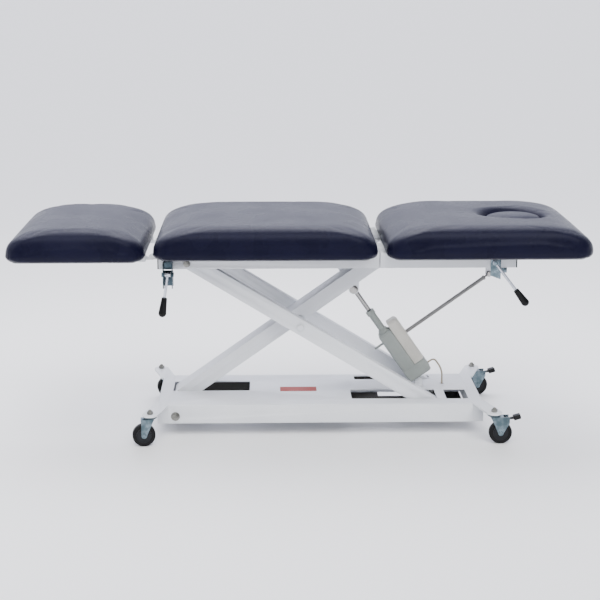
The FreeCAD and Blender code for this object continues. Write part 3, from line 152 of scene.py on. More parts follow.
def maths(tree, operation, first, second):
    """A Math node's result."""
    node = tree.nodes.new("ShaderNodeMath")
    node.operation = operation
    link_in(tree, node.inputs[0], first)
    link_in(tree, node.inputs[1], second)
    return node.outputs[0]


def blend_colour(tree, mask, first, second):
    """Two colours mixed by a mask."""
    node = tree.nodes.new("ShaderNodeMix")
    node.data_type = "RGBA"
    link_in(tree, node.inputs["Factor"], mask)
    link_in(tree, node.inputs[6], first)
    link_in(tree, node.inputs[7], second)
    return node.outputs[2]


def ramp(tree, value, low, high, to_low=0.0, to_high=1.0):
    """A value mapped from one range to another, clamped."""
    node = add(tree, "ShaderNodeMapRange", {"interpolation_type": "SMOOTHSTEP"}, Value=value)
    node.inputs["From Min"].default_value = low
    node.inputs["From Max"].default_value = high
    node.inputs["To Min"].default_value = to_low
    node.inputs["To Max"].default_value = to_high
    return node.outputs["Result"]


def new_group(name, inputs, outputs):
    """An empty shader group with named inputs and outputs."""
    tree = bpy.data.node_groups.new(name, "ShaderNodeTree")
    kinds = {"value": "NodeSocketFloat", "colour": "NodeSocketColor", "vector": "NodeSocketVector"}
    for label, kind, default in inputs:
        socket = tree.interface.new_socket(name=label, in_out="INPUT", socket_type=kinds[kind])
        socket.default_value = default
    for label, kind in outputs:
        tree.interface.new_socket(name=label, in_out="OUTPUT", socket_type=kinds[kind])
    source = tree.nodes.new("NodeGroupInput")
    target = tree.nodes.new("NodeGroupOutput")
    return tree, source.outputs, target.inputs


def make_edge_rub():
    """Mask of the rims where paint thins or dirt gathers."""
    tree, source, target = new_group(
        "edge_rub",
        [("Width", "value", 0.002), ("Patchiness", "value", 40.0)],
        [("Mask", "value")],
    )
    bevel = add(tree, "ShaderNodeBevel", {"samples": 4}, Radius=source["Width"])
    geometry = tree.nodes.new("ShaderNodeNewGeometry")
    dot = add(tree, "ShaderNodeVectorMath", {"operation": "DOT_PRODUCT"})
    tree.links.new(bevel.outputs["Normal"], dot.inputs[0])
    tree.links.new(geometry.outputs["Normal"], dot.inputs[1])
    edge = ramp(tree, dot.outputs["Value"], 0.995, 0.86)
    place = tree.nodes.new("ShaderNodeTexCoord")
    patches = add(tree, "ShaderNodeTexNoise", None, Vector=place.outputs["Object"],
                  Scale=source["Patchiness"], Detail=4.0)
    patch = ramp(tree, patches.outputs["Fac"], 0.38, 0.68)
    tree.links.new(maths(tree, "MULTIPLY", edge, patch), target["Mask"])
    return tree


def make_fine_texture():
    """Even fine texture, such as the orange peel of powder coat or moulded plastic."""
    tree, source, target = new_group(
        "fine_texture",
        [("Scale", "value", 700.0), ("Cloud scale", "value", 6.0)],
        [("Height", "value"), ("Cloud", "value")],
    )
    place = tree.nodes.new("ShaderNodeTexCoord")
    fine = add(tree, "ShaderNodeTexNoise", None, Vector=place.outputs["Object"],
               Scale=source["Scale"], Detail=3.0, Roughness=0.6)
    cloud = add(tree, "ShaderNodeTexNoise", None, Vector=place.outputs["Object"],
                Scale=source["Cloud scale"], Detail=5.0, Roughness=0.55)
    tree.links.new(fine.outputs["Fac"], target["Height"])
    tree.links.new(cloud.outputs["Fac"], target["Cloud"])
    return tree


def make_hide_grain():
    """Grain of vinyl hide: small uneven cells between creases, over long soft waves."""
    tree, source, target = new_group(
        "hide_grain",
        [("Cell scale", "value", 520.0), ("Wave scale", "value", 9.0)],
        [("Height", "value"), ("Crease", "value"), ("Wave", "value")],
    )
    place = tree.nodes.new("ShaderNodeTexCoord")
    bend = add(tree, "ShaderNodeTexNoise", None, Vector=place.outputs["Object"], Scale=180.0,
               Detail=3.0)
    mixed = tree.nodes.new("ShaderNodeMix")
    mixed.data_type = "VECTOR"
    mixed.inputs["Factor"].default_value = 0.006
    tree.links.new(place.outputs["Object"], mixed.inputs[4])
    tree.links.new(bend.outputs["Color"], mixed.inputs[5])
    cells = add(tree, "ShaderNodeTexVoronoi", {"feature": "DISTANCE_TO_EDGE"},
                Vector=mixed.outputs[1], Scale=source["Cell scale"])
    crease = ramp(tree, cells.outputs["Distance"], 0.0, 0.14)
    pores = add(tree, "ShaderNodeTexNoise", None, Vector=place.outputs["Object"], Scale=1500.0,
                Detail=2.0)
    wave = add(tree, "ShaderNodeTexNoise", None, Vector=place.outputs["Object"],
               Scale=source["Wave scale"], Detail=4.0, Roughness=0.5)
    height = maths(tree, "ADD", crease, maths(tree, "MULTIPLY", pores.outputs["Fac"], 0.35))
    tree.links.new(height, target["Height"])
    tree.links.new(crease, target["Crease"])
    tree.links.new(wave.outputs["Fac"], target["Wave"])
    return tree


def make_settled_dust():
    """Mask of the light dust on faces that look up."""
    tree, source, target = new_group(
        "settled_dust", [("Cover", "value", 0.3)], [("Mask", "value")]
    )
    geometry = tree.nodes.new("ShaderNodeNewGeometry")
    parts = tree.nodes.new("ShaderNodeSeparateXYZ")
    tree.links.new(geometry.outputs["Normal"], parts.inputs[0])
    up = ramp(tree, parts.outputs["Z"], 0.4, 0.95)
    place = tree.nodes.new("ShaderNodeTexCoord")
    cloud = add(tree, "ShaderNodeTexNoise", None, Vector=place.outputs["Object"], Scale=22.0,
                Detail=6.0, Roughness=0.65)
    cover = maths(tree, "MULTIPLY", maths(tree, "MULTIPLY", up, cloud.outputs["Fac"]),
                  source["Cover"])
    tree.links.new(cover, target["Mask"])
    return tree


def make_drawn_lines():
    """Fine lines along one direction, as on drawn or ground metal."""
    tree, source, target = new_group(
        "drawn_lines",
        [("Across", "vector", (1.0, 1.0, 60.0)), ("Scale", "value", 20.0)],
        [("Line", "value")],
    )
    place = tree.nodes.new("ShaderNodeTexCoord")
    stretched = add(tree, "ShaderNodeVectorMath", {"operation": "MULTIPLY"})
    tree.links.new(place.outputs["Object"], stretched.inputs[0])
    tree.links.new(source["Across"], stretched.inputs[1])
    lines = add(tree, "ShaderNodeTexNoise", None, Vector=stretched.outputs["Vector"],
                Scale=source["Scale"], Detail=5.0, Roughness=0.6)
    tree.links.new(lines.outputs["Fac"], target["Line"])
    return tree


GROUPS = {
    "edge_rub": make_edge_rub(),
    "fine_texture": make_fine_texture(),
    "hide_grain": make_hide_grain(),
    "settled_dust": make_settled_dust(),
    "drawn_lines": make_drawn_lines(),
}


def use_group(tree, name, **inputs):
    """Places a shared group in a material."""
    node = tree.nodes.new("ShaderNodeGroup")
    node.node_tree = GROUPS[name]
    for key, value in inputs.items():
        link_in(tree, node.inputs[key.replace("_", " ")], value)
    return node.outputs


def new_material(name, **plain):
    """A material with its Principled shader; plain values are set on its own sockets."""
    material = bpy.data.materials.new(name)
    material.use_nodes = True
    tree = material.node_tree
    shader = next(node for node in tree.nodes if node.type == "BSDF_PRINCIPLED")
    for key, value in plain.items():
        shader.inputs[key.replace("_", " ")].default_value = value
    return material, tree, shader


def bump(tree, shader, height, strength, distance):
    """Feeds the shader's normal from a height."""
    node = tree.nodes.new("ShaderNodeBump")
    node.inputs["Strength"].default_value = strength
    node.inputs["Distance"].default_value = distance
    tree.links.new(height, node.inputs["Height"])
    tree.links.new(node.outputs["Normal"], shader.inputs["Normal"])


def rgb(red, green, blue):
    """An opaque colour."""
    return (red, green, blue, 1.0)


def dimmed(colour, share):
    """A darker tone of a colour."""
    return rgb(*[channel * share for channel in colour[:3]])


def make_vinyl(name, deep, lit):
    """Navy upholstery vinyl, with its grain and a soft bloom on the waves."""
    material, tree, shader = new_material(name, Specular_IOR_Level=0.115, Sheen_Weight=0.008,
                                          Sheen_Roughness=0.4)
    shader.inputs["Sheen Tint"].default_value = rgb(0.62, 0.62, 0.95)
    shader.inputs["Specular Tint"].default_value = rgb(0.78, 0.80, 1.0)
    grain = use_group(tree, "hide_grain", Cell_scale=560.0, Wave_scale=7.0)
    body = blend_colour(tree, ramp(tree, grain["Wave"], 0.3, 0.7), deep, lit)
    dark = blend_colour(tree, ramp(tree, grain["Crease"], 0.0, 1.0, 0.75, 0.0), body,
                        rgb(0.0018, 0.0018, 0.0070))
    tree.links.new(dark, shader.inputs["Base Color"])
    rough = maths(tree, "ADD", ramp(tree, grain["Wave"], 0.3, 0.7, 0.25, 0.32),
                  ramp(tree, grain["Crease"], 0.0, 1.0, 0.08, 0.0))
    tree.links.new(rough, shader.inputs["Roughness"])
    bump(tree, shader, grain["Height"], 0.22, 0.0006)
    return material


def make_paint(name, colour, under, roughness=0.34, dust=0.25):
    """Powder-coated metal: orange peel, soft clouds, thin edges and settled dust."""
    material, tree, shader = new_material(name, Specular_IOR_Level=0.5)
    skin = use_group(tree, "fine_texture", Scale=420.0, Cloud_scale=5.0)
    shade = blend_colour(tree, ramp(tree, skin["Cloud"], 0.3, 0.7), colour,
                         dimmed(colour, 0.94))
    edge = use_group(tree, "edge_rub", Width=0.0012, Patchiness=60.0)
    worn = blend_colour(tree, maths(tree, "MULTIPLY", edge["Mask"], 0.25), shade, under)
    dirt = use_group(tree, "settled_dust", Cover=dust)
    final = blend_colour(tree, dirt["Mask"], worn, rgb(0.52, 0.52, 0.54))
    tree.links.new(final, shader.inputs["Base Color"])
    tree.links.new(ramp(tree, skin["Cloud"], 0.3, 0.7, roughness, roughness + 0.08),
                   shader.inputs["Roughness"])
    bump(tree, shader, skin["Height"], 0.05, 0.0006)
    return material


def make_zinc(name, bright, dull):
    """Bluish zinc plate with a cloudy spangle and darker rims."""
    material, tree, shader = new_material(name, Metallic=1.0)
    skin = use_group(tree, "fine_texture", Scale=160.0, Cloud_scale=35.0)
    body = blend_colour(tree, ramp(tree, skin["Cloud"], 0.35, 0.65), bright, dull)
    edge = use_group(tree, "edge_rub", Width=0.001, Patchiness=90.0)
    final = blend_colour(tree, maths(tree, "MULTIPLY", edge["Mask"], 0.5), body,
                         rgb(0.30, 0.31, 0.33))
    tree.links.new(final, shader.inputs["Base Color"])
    tree.links.new(ramp(tree, skin["Cloud"], 0.35, 0.65, 0.24, 0.40), shader.inputs["Roughness"])
    bump(tree, shader, skin["Height"], 0.05, 0.0004)
    return material


def make_bright_steel(name, colour, roughness, across):
    """Plated or ground steel with fine lines along the bar."""
    material, tree, shader = new_material(name, Metallic=1.0)
    lines = use_group(tree, "drawn_lines", Across=across, Scale=14.0)
    body = blend_colour(tree, ramp(tree, lines["Line"], 0.3, 0.7), colour,
                        dimmed(colour, 0.82))
    tree.links.new(body, shader.inputs["Base Color"])
    tree.links.new(ramp(tree, lines["Line"], 0.3, 0.7, roughness, roughness + 0.08),
                   shader.inputs["Roughness"])
    bump(tree, shader, lines["Line"], 0.03, 0.0003)
    return material


def make_plastic(name, colour, roughness, grain=0.12, dust=0.0, scale=900.0):
    """Moulded plastic or rubber with a fine grain and polished rims."""
    material, tree, shader = new_material(name, Specular_IOR_Level=0.18)
    skin = use_group(tree, "fine_texture", Scale=scale, Cloud_scale=12.0)
    body = blend_colour(tree, ramp(tree, skin["Cloud"], 0.3, 0.7), colour,
                        dimmed(colour, 0.86))
    edge = use_group(tree, "edge_rub", Width=0.001, Patchiness=70.0)
    lighter = rgb(*[min(1.0, channel * 1.5 + 0.01) for channel in colour[:3]])
    worn = blend_colour(tree, maths(tree, "MULTIPLY", edge["Mask"], 0.4), body, lighter)
    dirt = use_group(tree, "settled_dust", Cover=dust)
    final = blend_colour(tree, dirt["Mask"], worn, rgb(0.35, 0.35, 0.36))
    tree.links.new(final, shader.inputs["Base Color"])
    tree.links.new(ramp(tree, skin["Cloud"], 0.3, 0.7, roughness, roughness + 0.1),
                   shader.inputs["Roughness"])
    bump(tree, shader, skin["Height"], grain, 0.0004)
    return material


VINYL = make_vinyl("cushion_vinyl", rgb(0.0040, 0.0040, 0.0150), rgb(0.0062, 0.0062, 0.0210))
PLUG_VINYL = make_vinyl("plug_vinyl", rgb(0.0042, 0.0042, 0.0155), rgb(0.0066, 0.0066, 0.0220))
WHITE = make_paint("frame_white_coat", rgb(0.80, 0.82, 0.86), rgb(0.50, 0.51, 0.54))
BASE_WHITE = make_paint("base_white_coat", rgb(0.78, 0.80, 0.84), rgb(0.48, 0.49, 0.52),
                        dust=0.35)
ZINC = make_zinc("bracket_zinc", rgb(0.20, 0.26, 0.30), rgb(0.09, 0.13, 0.15))
DARK_ZINC = make_zinc("lever_bracket_zinc", rgb(0.075, 0.105, 0.125), rgb(0.030, 0.048, 0.060))
BOLT_ZINC = make_zinc("bolt_zinc", rgb(0.26, 0.26, 0.24), rgb(0.12, 0.12, 0.11))
PIVOT_COAT = make_paint("pivot_white_coat", rgb(0.76, 0.78, 0.82), rgb(0.46, 0.47, 0.50))
CHROME = make_bright_steel("ram_chrome", rgb(0.40, 0.39, 0.38), 0.16, (30.0, 30.0, 1.0))
LEVER_STEEL = make_bright_steel("lever_steel", rgb(0.60, 0.63, 0.70), 0.24, (30.0, 30.0, 2.0))
TYRE = make_plastic("tyre_rubber", rgb(0.006, 0.006, 0.007), 0.50, grain=0.2, dust=0.08,
                    scale=700.0)
HUB = make_plastic("hub_nylon", rgb(0.014, 0.015, 0.018), 0.30, grain=0.08)
GRIP = make_plastic("grip_black", rgb(0.004, 0.004, 0.005), 0.28, grain=0.08)
END_CAP = make_plastic("end_cap_black", rgb(0.012, 0.012, 0.013), 0.42)
PEDAL = make_plastic("pedal_rubber", rgb(0.010, 0.010, 0.011), 0.46, grain=0.2)
LEAD = make_plastic("lead_jacket", rgb(0.36, 0.31, 0.23), 0.40)
HOUSING = make_plastic("gearbox_grey", rgb(0.34, 0.37, 0.35), 0.42, grain=0.16, dust=0.15)
COVER = make_plastic("motor_cover_cream", rgb(0.66, 0.64, 0.58), 0.34, grain=0.10, dust=0.1)
STRUT = make_paint("strut_grey_coat", rgb(0.24, 0.235, 0.23), rgb(0.15, 0.15, 0.145), 0.3)
# Near-black finish that paints the shade inside the base, seen through the slots
SLOT_SHADE = make_plastic("raw_steel_inside", rgb(0.050, 0.048, 0.044), 0.50, grain=0.2)
BOARD = make_plastic("board_backing", rgb(0.010, 0.010, 0.022), 0.50, grain=0.15)
BLANK_STRIP = make_plastic("blank_strip_red", rgb(0.32, 0.020, 0.004), 0.40, grain=0.03)

LOOKS = {
    "castor_nuts": BOLT_ZINC,
    "low_pivot_shaft": BOLT_ZINC,
    "centre_pivot_shaft": PIVOT_COAT,
    "low_rollers": BOLT_ZINC,
    "high_rollers": BOLT_ZINC,
    "upper_pivot_bolts": BOLT_ZINC,
    "leg_lever_bracket": DARK_ZINC,
    "back_lever_bracket": ZINC,
    "foot_end_caps": END_CAP,
    "head_end_caps": END_CAP,
    "back_lever_grip": GRIP,
    "leg_lever_grip": GRIP,
    "back_lever_rod": LEVER_STEEL,
    "leg_lever_rod": LEVER_STEEL,
    "actuator_lead": LEAD,
    "actuator_housing": HOUSING,
    "motor_cover": COVER,
    "actuator_rod": CHROME,
    "strut_rod": CHROME,
    "strut_cylinder": STRUT,
    "middle_board": BOARD,
    "back_board": BOARD,
    "leg_board": BOARD,
}
BASE_NODES = ("base_top_plate", "base_side_near", "base_side_far", "foot_crossbar",
              "head_crossbar", "foot_castor_plate", "head_castor_plate", "low_tracks",
              "actuator_foot_bracket")


def look_of(name):
    """The finish of a CAD node."""
    if name in LOOKS:
        return LOOKS[name]
    if name.startswith("castor_fork"):
        return ZINC
    if name.startswith("castor_wheel"):
        return TYRE
    if name.startswith("castor_pedal"):
        return PEDAL
    return BASE_WHITE if name in BASE_NODES else WHITE


def soften(node, width):
    """Rounds a node's sharp edges with modifiers; its own mesh stays as it is."""
    smooth(node)
    weld = node.modifiers.new("join_triangles", "WELD")
    weld.merge_threshold = 0.00001
    flat = node.modifiers.new("clear_flats", "DECIMATE")
    flat.decimate_type = "DISSOLVE"
    flat.angle_limit = math.radians(0.6)
    round_over = node.modifiers.new("round_edges", "BEVEL")
    round_over.width = width
    round_over.segments = 2
    round_over.limit_method = "ANGLE"
    round_over.angle_limit = math.radians(38)
    round_over.harden_normals = True
    round_over.use_clamp_overlap = True


EDGE_WIDTHS = {
    "frame_rail_near": 0.0025, "frame_rail_far": 0.0025, "back_rail_near": 0.0025,
    "back_rail_far": 0.0025, "outer_arm_near": 0.003, "outer_arm_far": 0.003,
    "inner_arm": 0.003, "foot_crossbar": 0.0025, "head_crossbar": 0.0025,
    "base_top_plate": 0.0015, "base_side_near": 0.0015, "base_side_far": 0.0015,
    "foot_castor_plate": 0.0015, "head_castor_plate": 0.0015,
}


def dress_nodes():
    """Gives every CAD node its finish, and the hard ones their rounded edges."""
    for name, node in nodes.items():
        node.data.materials.clear()
        node.data.materials.append(look_of(name))
        if not (name.endswith("_cushion") or name == "face_plug"):
            soften(node, EDGE_WIDTHS.get(name, 0.0007))


def settle(obj):
    """Turns an object's modifiers into plain mesh."""
    graph = bpy.context.evaluated_depsgraph_get()
    graph.update()
    made = bpy.data.meshes.new_from_object(obj.evaluated_get(graph))
    obj.modifiers.clear()
    obj.data = made


def plain_mesh(name, mesh):
    """A mesh from a working mesh, which is freed."""
    made = bpy.data.meshes.new(name)
    mesh.to_mesh(made)
    mesh.free()
    return made


def new_object(name, mesh, material):
    """Links a mesh object at the origin, with its finish."""
    obj = bpy.data.objects.new(name, mesh)
    bpy.context.scene.collection.objects.link(obj)
    obj.data.materials.clear()
    obj.data.materials.append(material)
    return obj


def smooth(obj):
    """Shades an object's faces smooth."""
    for polygon in obj.data.polygons:
        polygon.use_smooth = True


def points_of(obj):
    """An object's vertices as an array."""
    return np.array([v.co for v in obj.data.vertices], float).reshape(-1, 3)


def put_points(obj, points):
    """Moves an object's vertices to the rows of an array."""
    obj.data.vertices.foreach_set("co", points.astype(np.float32).ravel())
    obj.data.update()


def loft_mesh(name, rings):
    """A closed mesh through rings of points, low to high."""
    mesh = bmesh.new()
    levels = [[mesh.verts.new(point) for point in ring] for ring in rings]
    for lower, upper in zip(levels, levels[1:]):
        count = len(lower)
        for index in range(count):
            after = (index + 1) % count
            mesh.faces.new((lower[index], lower[after], upper[after], upper[index]))
    mesh.faces.new(list(reversed(levels[0])))
    mesh.faces.new(levels[-1])
    return plain_mesh(name, mesh)


def round_ring(low_x, high_x, half_y, radius, z):
    """A rectangle with round corners at one height."""
    ring = []
    for side_x, side_y, start in ((1, 1, 0), (-1, 1, 90), (-1, -1, 180), (1, -1, 270)):
        centre_x = high_x - radius if side_x > 0 else low_x + radius
        centre_y = (half_y - radius) * side_y
        for step in range(9):
            angle = math.radians(start + 90 * step / 8)
            ring.append((centre_x + radius * math.cos(angle),
                         centre_y + radius * math.sin(angle), z))
    return ring


def crown_inset(rise, reach, climb, turn):
    """How far the crown has drawn in at a share of the height."""
    return reach * (1 - max(0.0, 1 - rise ** climb) ** turn)


def cushion_form(name, low, high, trim):
    """A cushion's form: sharp low rim, sides that lean in, and a crown toward both ends."""
    half_y = (high.y - low.y) / 2
    rings = []
    for inset, radius, share in SKIRT_RINGS:
        rings.append(round_ring(low.x + trim + inset, high.x - inset, half_y - inset, radius,
                                low.z - SKIRT * share))
    height = high.z - low.z
    for share in LEVEL_SHARES:
        rise = max(0.0, (share - RIM_SHARE) / (1 - RIM_SHARE))
        end_in = crown_inset(rise, END_REACH, *END_POWERS)
        side_in = crown_inset(rise, SIDE_REACH, *SIDE_POWERS)
        if share < RIM_SHARE:
            end_in = side_in = RIM_IN * (1 - share / RIM_SHARE)
        radius = CORNER_RADIUS + 0.1 * (end_in + side_in) / 2
        rings.append(round_ring(low.x + trim + end_in, high.x - end_in, half_y - side_in, radius,
                                low.z + height * share))
    return loft_mesh(name, rings)


def cut_face_hole(obj, low, high):
    """Cuts the oval face hole with a rolled rim."""
    height = high.z - low.z
    rings = []
    for rise, roll in HOLE_RINGS:
        ring = []
        for step in range(HOLE_STEPS):
            angle = 2 * math.pi * step / HOLE_STEPS
            ring.append((FACE_X + (FACE_HALF_LENGTH - roll) * math.cos(angle),
                         (FACE_HALF_WIDTH - roll) * math.sin(angle), low.z + height * rise))
        rings.append(ring)
    cutter = new_object("face_cutter", loft_mesh("face_cutter", rings), VINYL)
    cut = obj.modifiers.new("face_hole", "BOOLEAN")
    cut.operation = "DIFFERENCE"
    cut.solver = "EXACT"
    cut.object = cutter
    settle(obj)
    bpy.data.objects.remove(cutter)


def plug_form(name):
    """The plug's form: its node's mesh, with the loose triangles joined."""
    mesh = bmesh.new()
    mesh.from_mesh(nodes["face_plug"].data)
    bmesh.ops.remove_doubles(mesh, verts=mesh.verts, dist=0.00002)
    bmesh.ops.recalc_face_normals(mesh, faces=mesh.faces)
    return plain_mesh(name, mesh)


def fill_pad(obj, low_z, net, swell, pressure):
    """Evens a form's net and fills it by a cloth simulation, held at its seat."""
    remesh = obj.modifiers.new("even_net", "REMESH")
    remesh.mode = "VOXEL"
    remesh.voxel_size = net
    ease = obj.modifiers.new("ease", "SMOOTH")
    ease.factor = 0.5
    ease.iterations = 3
    settle(obj)
    rest = points_of(obj)
    seat = obj.vertex_groups.new(name="seat")
    held = np.nonzero(rest[:, 2] < low_z + SEAT_HEIGHT)[0]
    seat.add([int(i) for i in held], 1.0, "REPLACE")
    cloth = obj.modifiers.new("fill", "CLOTH")
    cloth.settings.use_pressure = True
    cloth.settings.uniform_pressure_force = pressure
    cloth.settings.effector_weights.gravity = 0.0
    cloth.settings.vertex_group_mass = "seat"
    cloth.settings.quality = 4
    cloth.settings.tension_stiffness = FILL_STIFFNESS
    cloth.settings.compression_stiffness = FILL_STIFFNESS
    cloth.collision_settings.use_collision = False
    cloth.collision_settings.use_self_collision = False
    cloth.point_cache.frame_start = 1
    cloth.point_cache.frame_end = FILL_FRAMES
    for step in range(1, FILL_FRAMES + 1):
        bpy.context.scene.frame_set(step)
    settle(obj)
    bpy.context.scene.frame_set(1)
    move = points_of(obj) - rest
    length = np.linalg.norm(move, axis=1)
    move *= (np.minimum(length, swell) / np.maximum(length, 1e-9))[:, None]
    rest = rest + move
    put_points(obj, rest)


def refine(obj):
    """Divides a pad's faces once more."""
    level = obj.modifiers.new("finer", "SUBSURF")
    level.levels = 1
    level.render_levels = 1
    settle(obj)


def dress_pad(obj, low, high, bottom):
    """Crowns the top, tucks the lower corners and lays the bottom flat on the board."""
    points = points_of(obj)
    half_x = (high.x - low.x) / 2
    half_y = (high.y - low.y) / 2
    centre_x = (high.x + low.x) / 2
    centre_y = (high.y + low.y) / 2
    across = (points[:, 0] - centre_x) / half_x
    along = (points[:, 1] - centre_y) / half_y
    rise = np.clip((points[:, 2] - bottom) / (high.z - bottom), 0, 1)
    dome = (1 - np.clip(across, -1, 1) ** 2) * (1 - np.clip(along, -1, 1) ** 2)
    points[:, 2] += CUSHION_CROWN * dome * rise ** 3
    for side_x in (-1, 1):
        for side_y in (-1, 1):
            corner = np.array([centre_x + side_x * (half_x - CORNER_IN),
                               centre_y + side_y * (half_y - CORNER_IN)])
            offset = points[:, :2] - corner
            radius = np.linalg.norm(offset, axis=1)
            outward = (offset[:, 0] * side_x > -0.01) & (offset[:, 1] * side_y > -0.01)
            angle = np.arctan2(offset[:, 1] * side_y, offset[:, 0] * side_x)
            fade = np.clip(1 - np.abs(rise - 0.12) / 0.30, 0, 1) * np.clip(
                1 - np.abs(angle - math.pi / 4) / (math.pi / 3.2), 0, 1)
            near = np.where(outward & (radius < CORNER_REACH), fade, 0)
            fold = np.cos(angle * 26 + side_x * 0.7) * CUSHION_TUCK * near
            unit = offset / np.maximum(radius, 1e-6)[:, None]
            points[:, :2] += unit * fold[:, None]
    points[:, 2] = np.maximum(points[:, 2], bottom)
    put_points(obj, points)
    refine(obj)
    points = points_of(obj)
    points[:, 2] = np.maximum(points[:, 2], bottom)
    put_points(obj, points)
    smooth(obj)


def make_pads():
    """The three cushions and the plug of the face opening."""
    for node_name, body, bottom, trim in (("leg_cushion", "leg", LEG_BOARD_TOP, LEG_TRIM),
                                          ("middle_cushion", "upper_frame", PLATFORM_TOP, 0.0),
                                          ("back_cushion", "back", PLATFORM_TOP, 0.0)):
        low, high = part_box(node_name)
        piece_name = node_name + "_vinyl"
        obj = new_object(piece_name, cushion_form(piece_name, low, high, trim), VINYL)
        if node_name == "back_cushion":
            cut_face_hole(obj, low, high)
        fill_pad(obj, low.z, CUSHION_NET, CUSHION_SWELL, CUSHION_PRESSURE)
        dress_pad(obj, low, high, bottom - SKIRT)
        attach(obj, body)
        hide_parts(node_name)
    low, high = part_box("face_plug")
    obj = new_object("face_plug_vinyl", plug_form("face_plug_vinyl"), PLUG_VINYL)
    fill_pad(obj, low.z, PLUG_NET, PLUG_SWELL, PLUG_PRESSURE)
    points = points_of(obj)
    rise = np.clip((points[:, 2] - low.z) / (high.z - low.z), 0, 1)
    spread = np.hypot((points[:, 0] - FACE_X) / FACE_HALF_LENGTH, points[:, 1] / FACE_HALF_WIDTH)
    points[:, 2] += rise ** 1.5 * (PLUG_RISE + PLUG_DOME * np.clip(1 - spread ** 2, 0, 1))
    put_points(obj, points)
    refine(obj)
    smooth(obj)
    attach(obj, "face_plug")
    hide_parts("face_plug")


def lathe_y(name, profile, steps, place, material):
    """A turned shape from (radius, distance along Y) pairs, at a place and turn."""
    mesh = bmesh.new()
    rings = []
    for radius, along in profile:
        ring = []
        for index in range(steps):
            angle = 2 * math.pi * index / steps
            ring.append(mesh.verts.new(place @ Vector((radius * math.cos(angle), along,
                                                       radius * math.sin(angle)))))
        rings.append(ring)
    for first, second in zip(rings, rings[1:]):
        for index in range(steps):
            after = (index + 1) % steps
            mesh.faces.new((first[index], first[after], second[after], second[index]))
    mesh.faces.new(rings[0])
    mesh.faces.new(list(reversed(rings[-1])))
    bmesh.ops.recalc_face_normals(mesh, faces=mesh.faces)
    obj = new_object(name, plain_mesh(name, mesh), material)
    smooth(obj)
    sharp = obj.modifiers.new("rims", "EDGE_SPLIT")
    sharp.split_angle = math.radians(50)
    settle(obj)
    return obj


def make_hubs():
    """A moulded hub face on each side of the castor wheels."""
    face = WHEEL_HALF - HUB_FACE_IN
    profile = [(radius, face + out) for radius, out in HUB_STEPS]
    for key, (x, y, turn) in CASTORS.items():
        spin = Matrix.Translation((x, y, 0)) @ Matrix.Rotation(math.radians(turn), 4, "Z")
        axle = spin @ Matrix.Translation((CASTOR_TRAIL, 0, WHEEL_RADIUS))
        for label, half_turns in (("a", 1), ("b", 0)):
            place = axle @ Matrix.Rotation(math.pi * half_turns, 4, "Z")
            obj = lathe_y("castor_hub_" + key + "_" + label, profile, 40, place, HUB)
            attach(obj, "wheel_" + key)


def new_shape_tree(name, sizes, counts=()):
    """An empty Geometry Nodes tree with named sizes, counts and a finish."""
    tree = bpy.data.node_groups.new(name, "GeometryNodeTree")
    tree.interface.new_socket(name="Geometry", in_out="INPUT", socket_type="NodeSocketGeometry")
    for label, value in sizes:
        socket = tree.interface.new_socket(name=label, in_out="INPUT",
                                           socket_type="NodeSocketFloat")
        socket.default_value = value
    for label in counts:
        tree.interface.new_socket(name=label, in_out="INPUT", socket_type="NodeSocketInt")
    tree.interface.new_socket(name="Finish", in_out="INPUT", socket_type="NodeSocketMaterial")
    tree.interface.new_socket(name="Geometry", in_out="OUTPUT", socket_type="NodeSocketGeometry")
    source = tree.nodes.new("NodeGroupInput").outputs
    target = tree.nodes.new("NodeGroupOutput").inputs
    return tree, source, target


def realize(tree, instances, source, target):
    """Ends a tree: its instances made real, with the finish set."""
    real = tree.nodes.new("GeometryNodeRealizeInstances")
    tree.links.new(instances, real.inputs["Geometry"])
    finish = tree.nodes.new("GeometryNodeSetMaterial")
    tree.links.new(real.outputs["Geometry"], finish.inputs["Geometry"])
    tree.links.new(source["Finish"], finish.inputs["Material"])
    tree.links.new(finish.outputs["Geometry"], target["Geometry"])


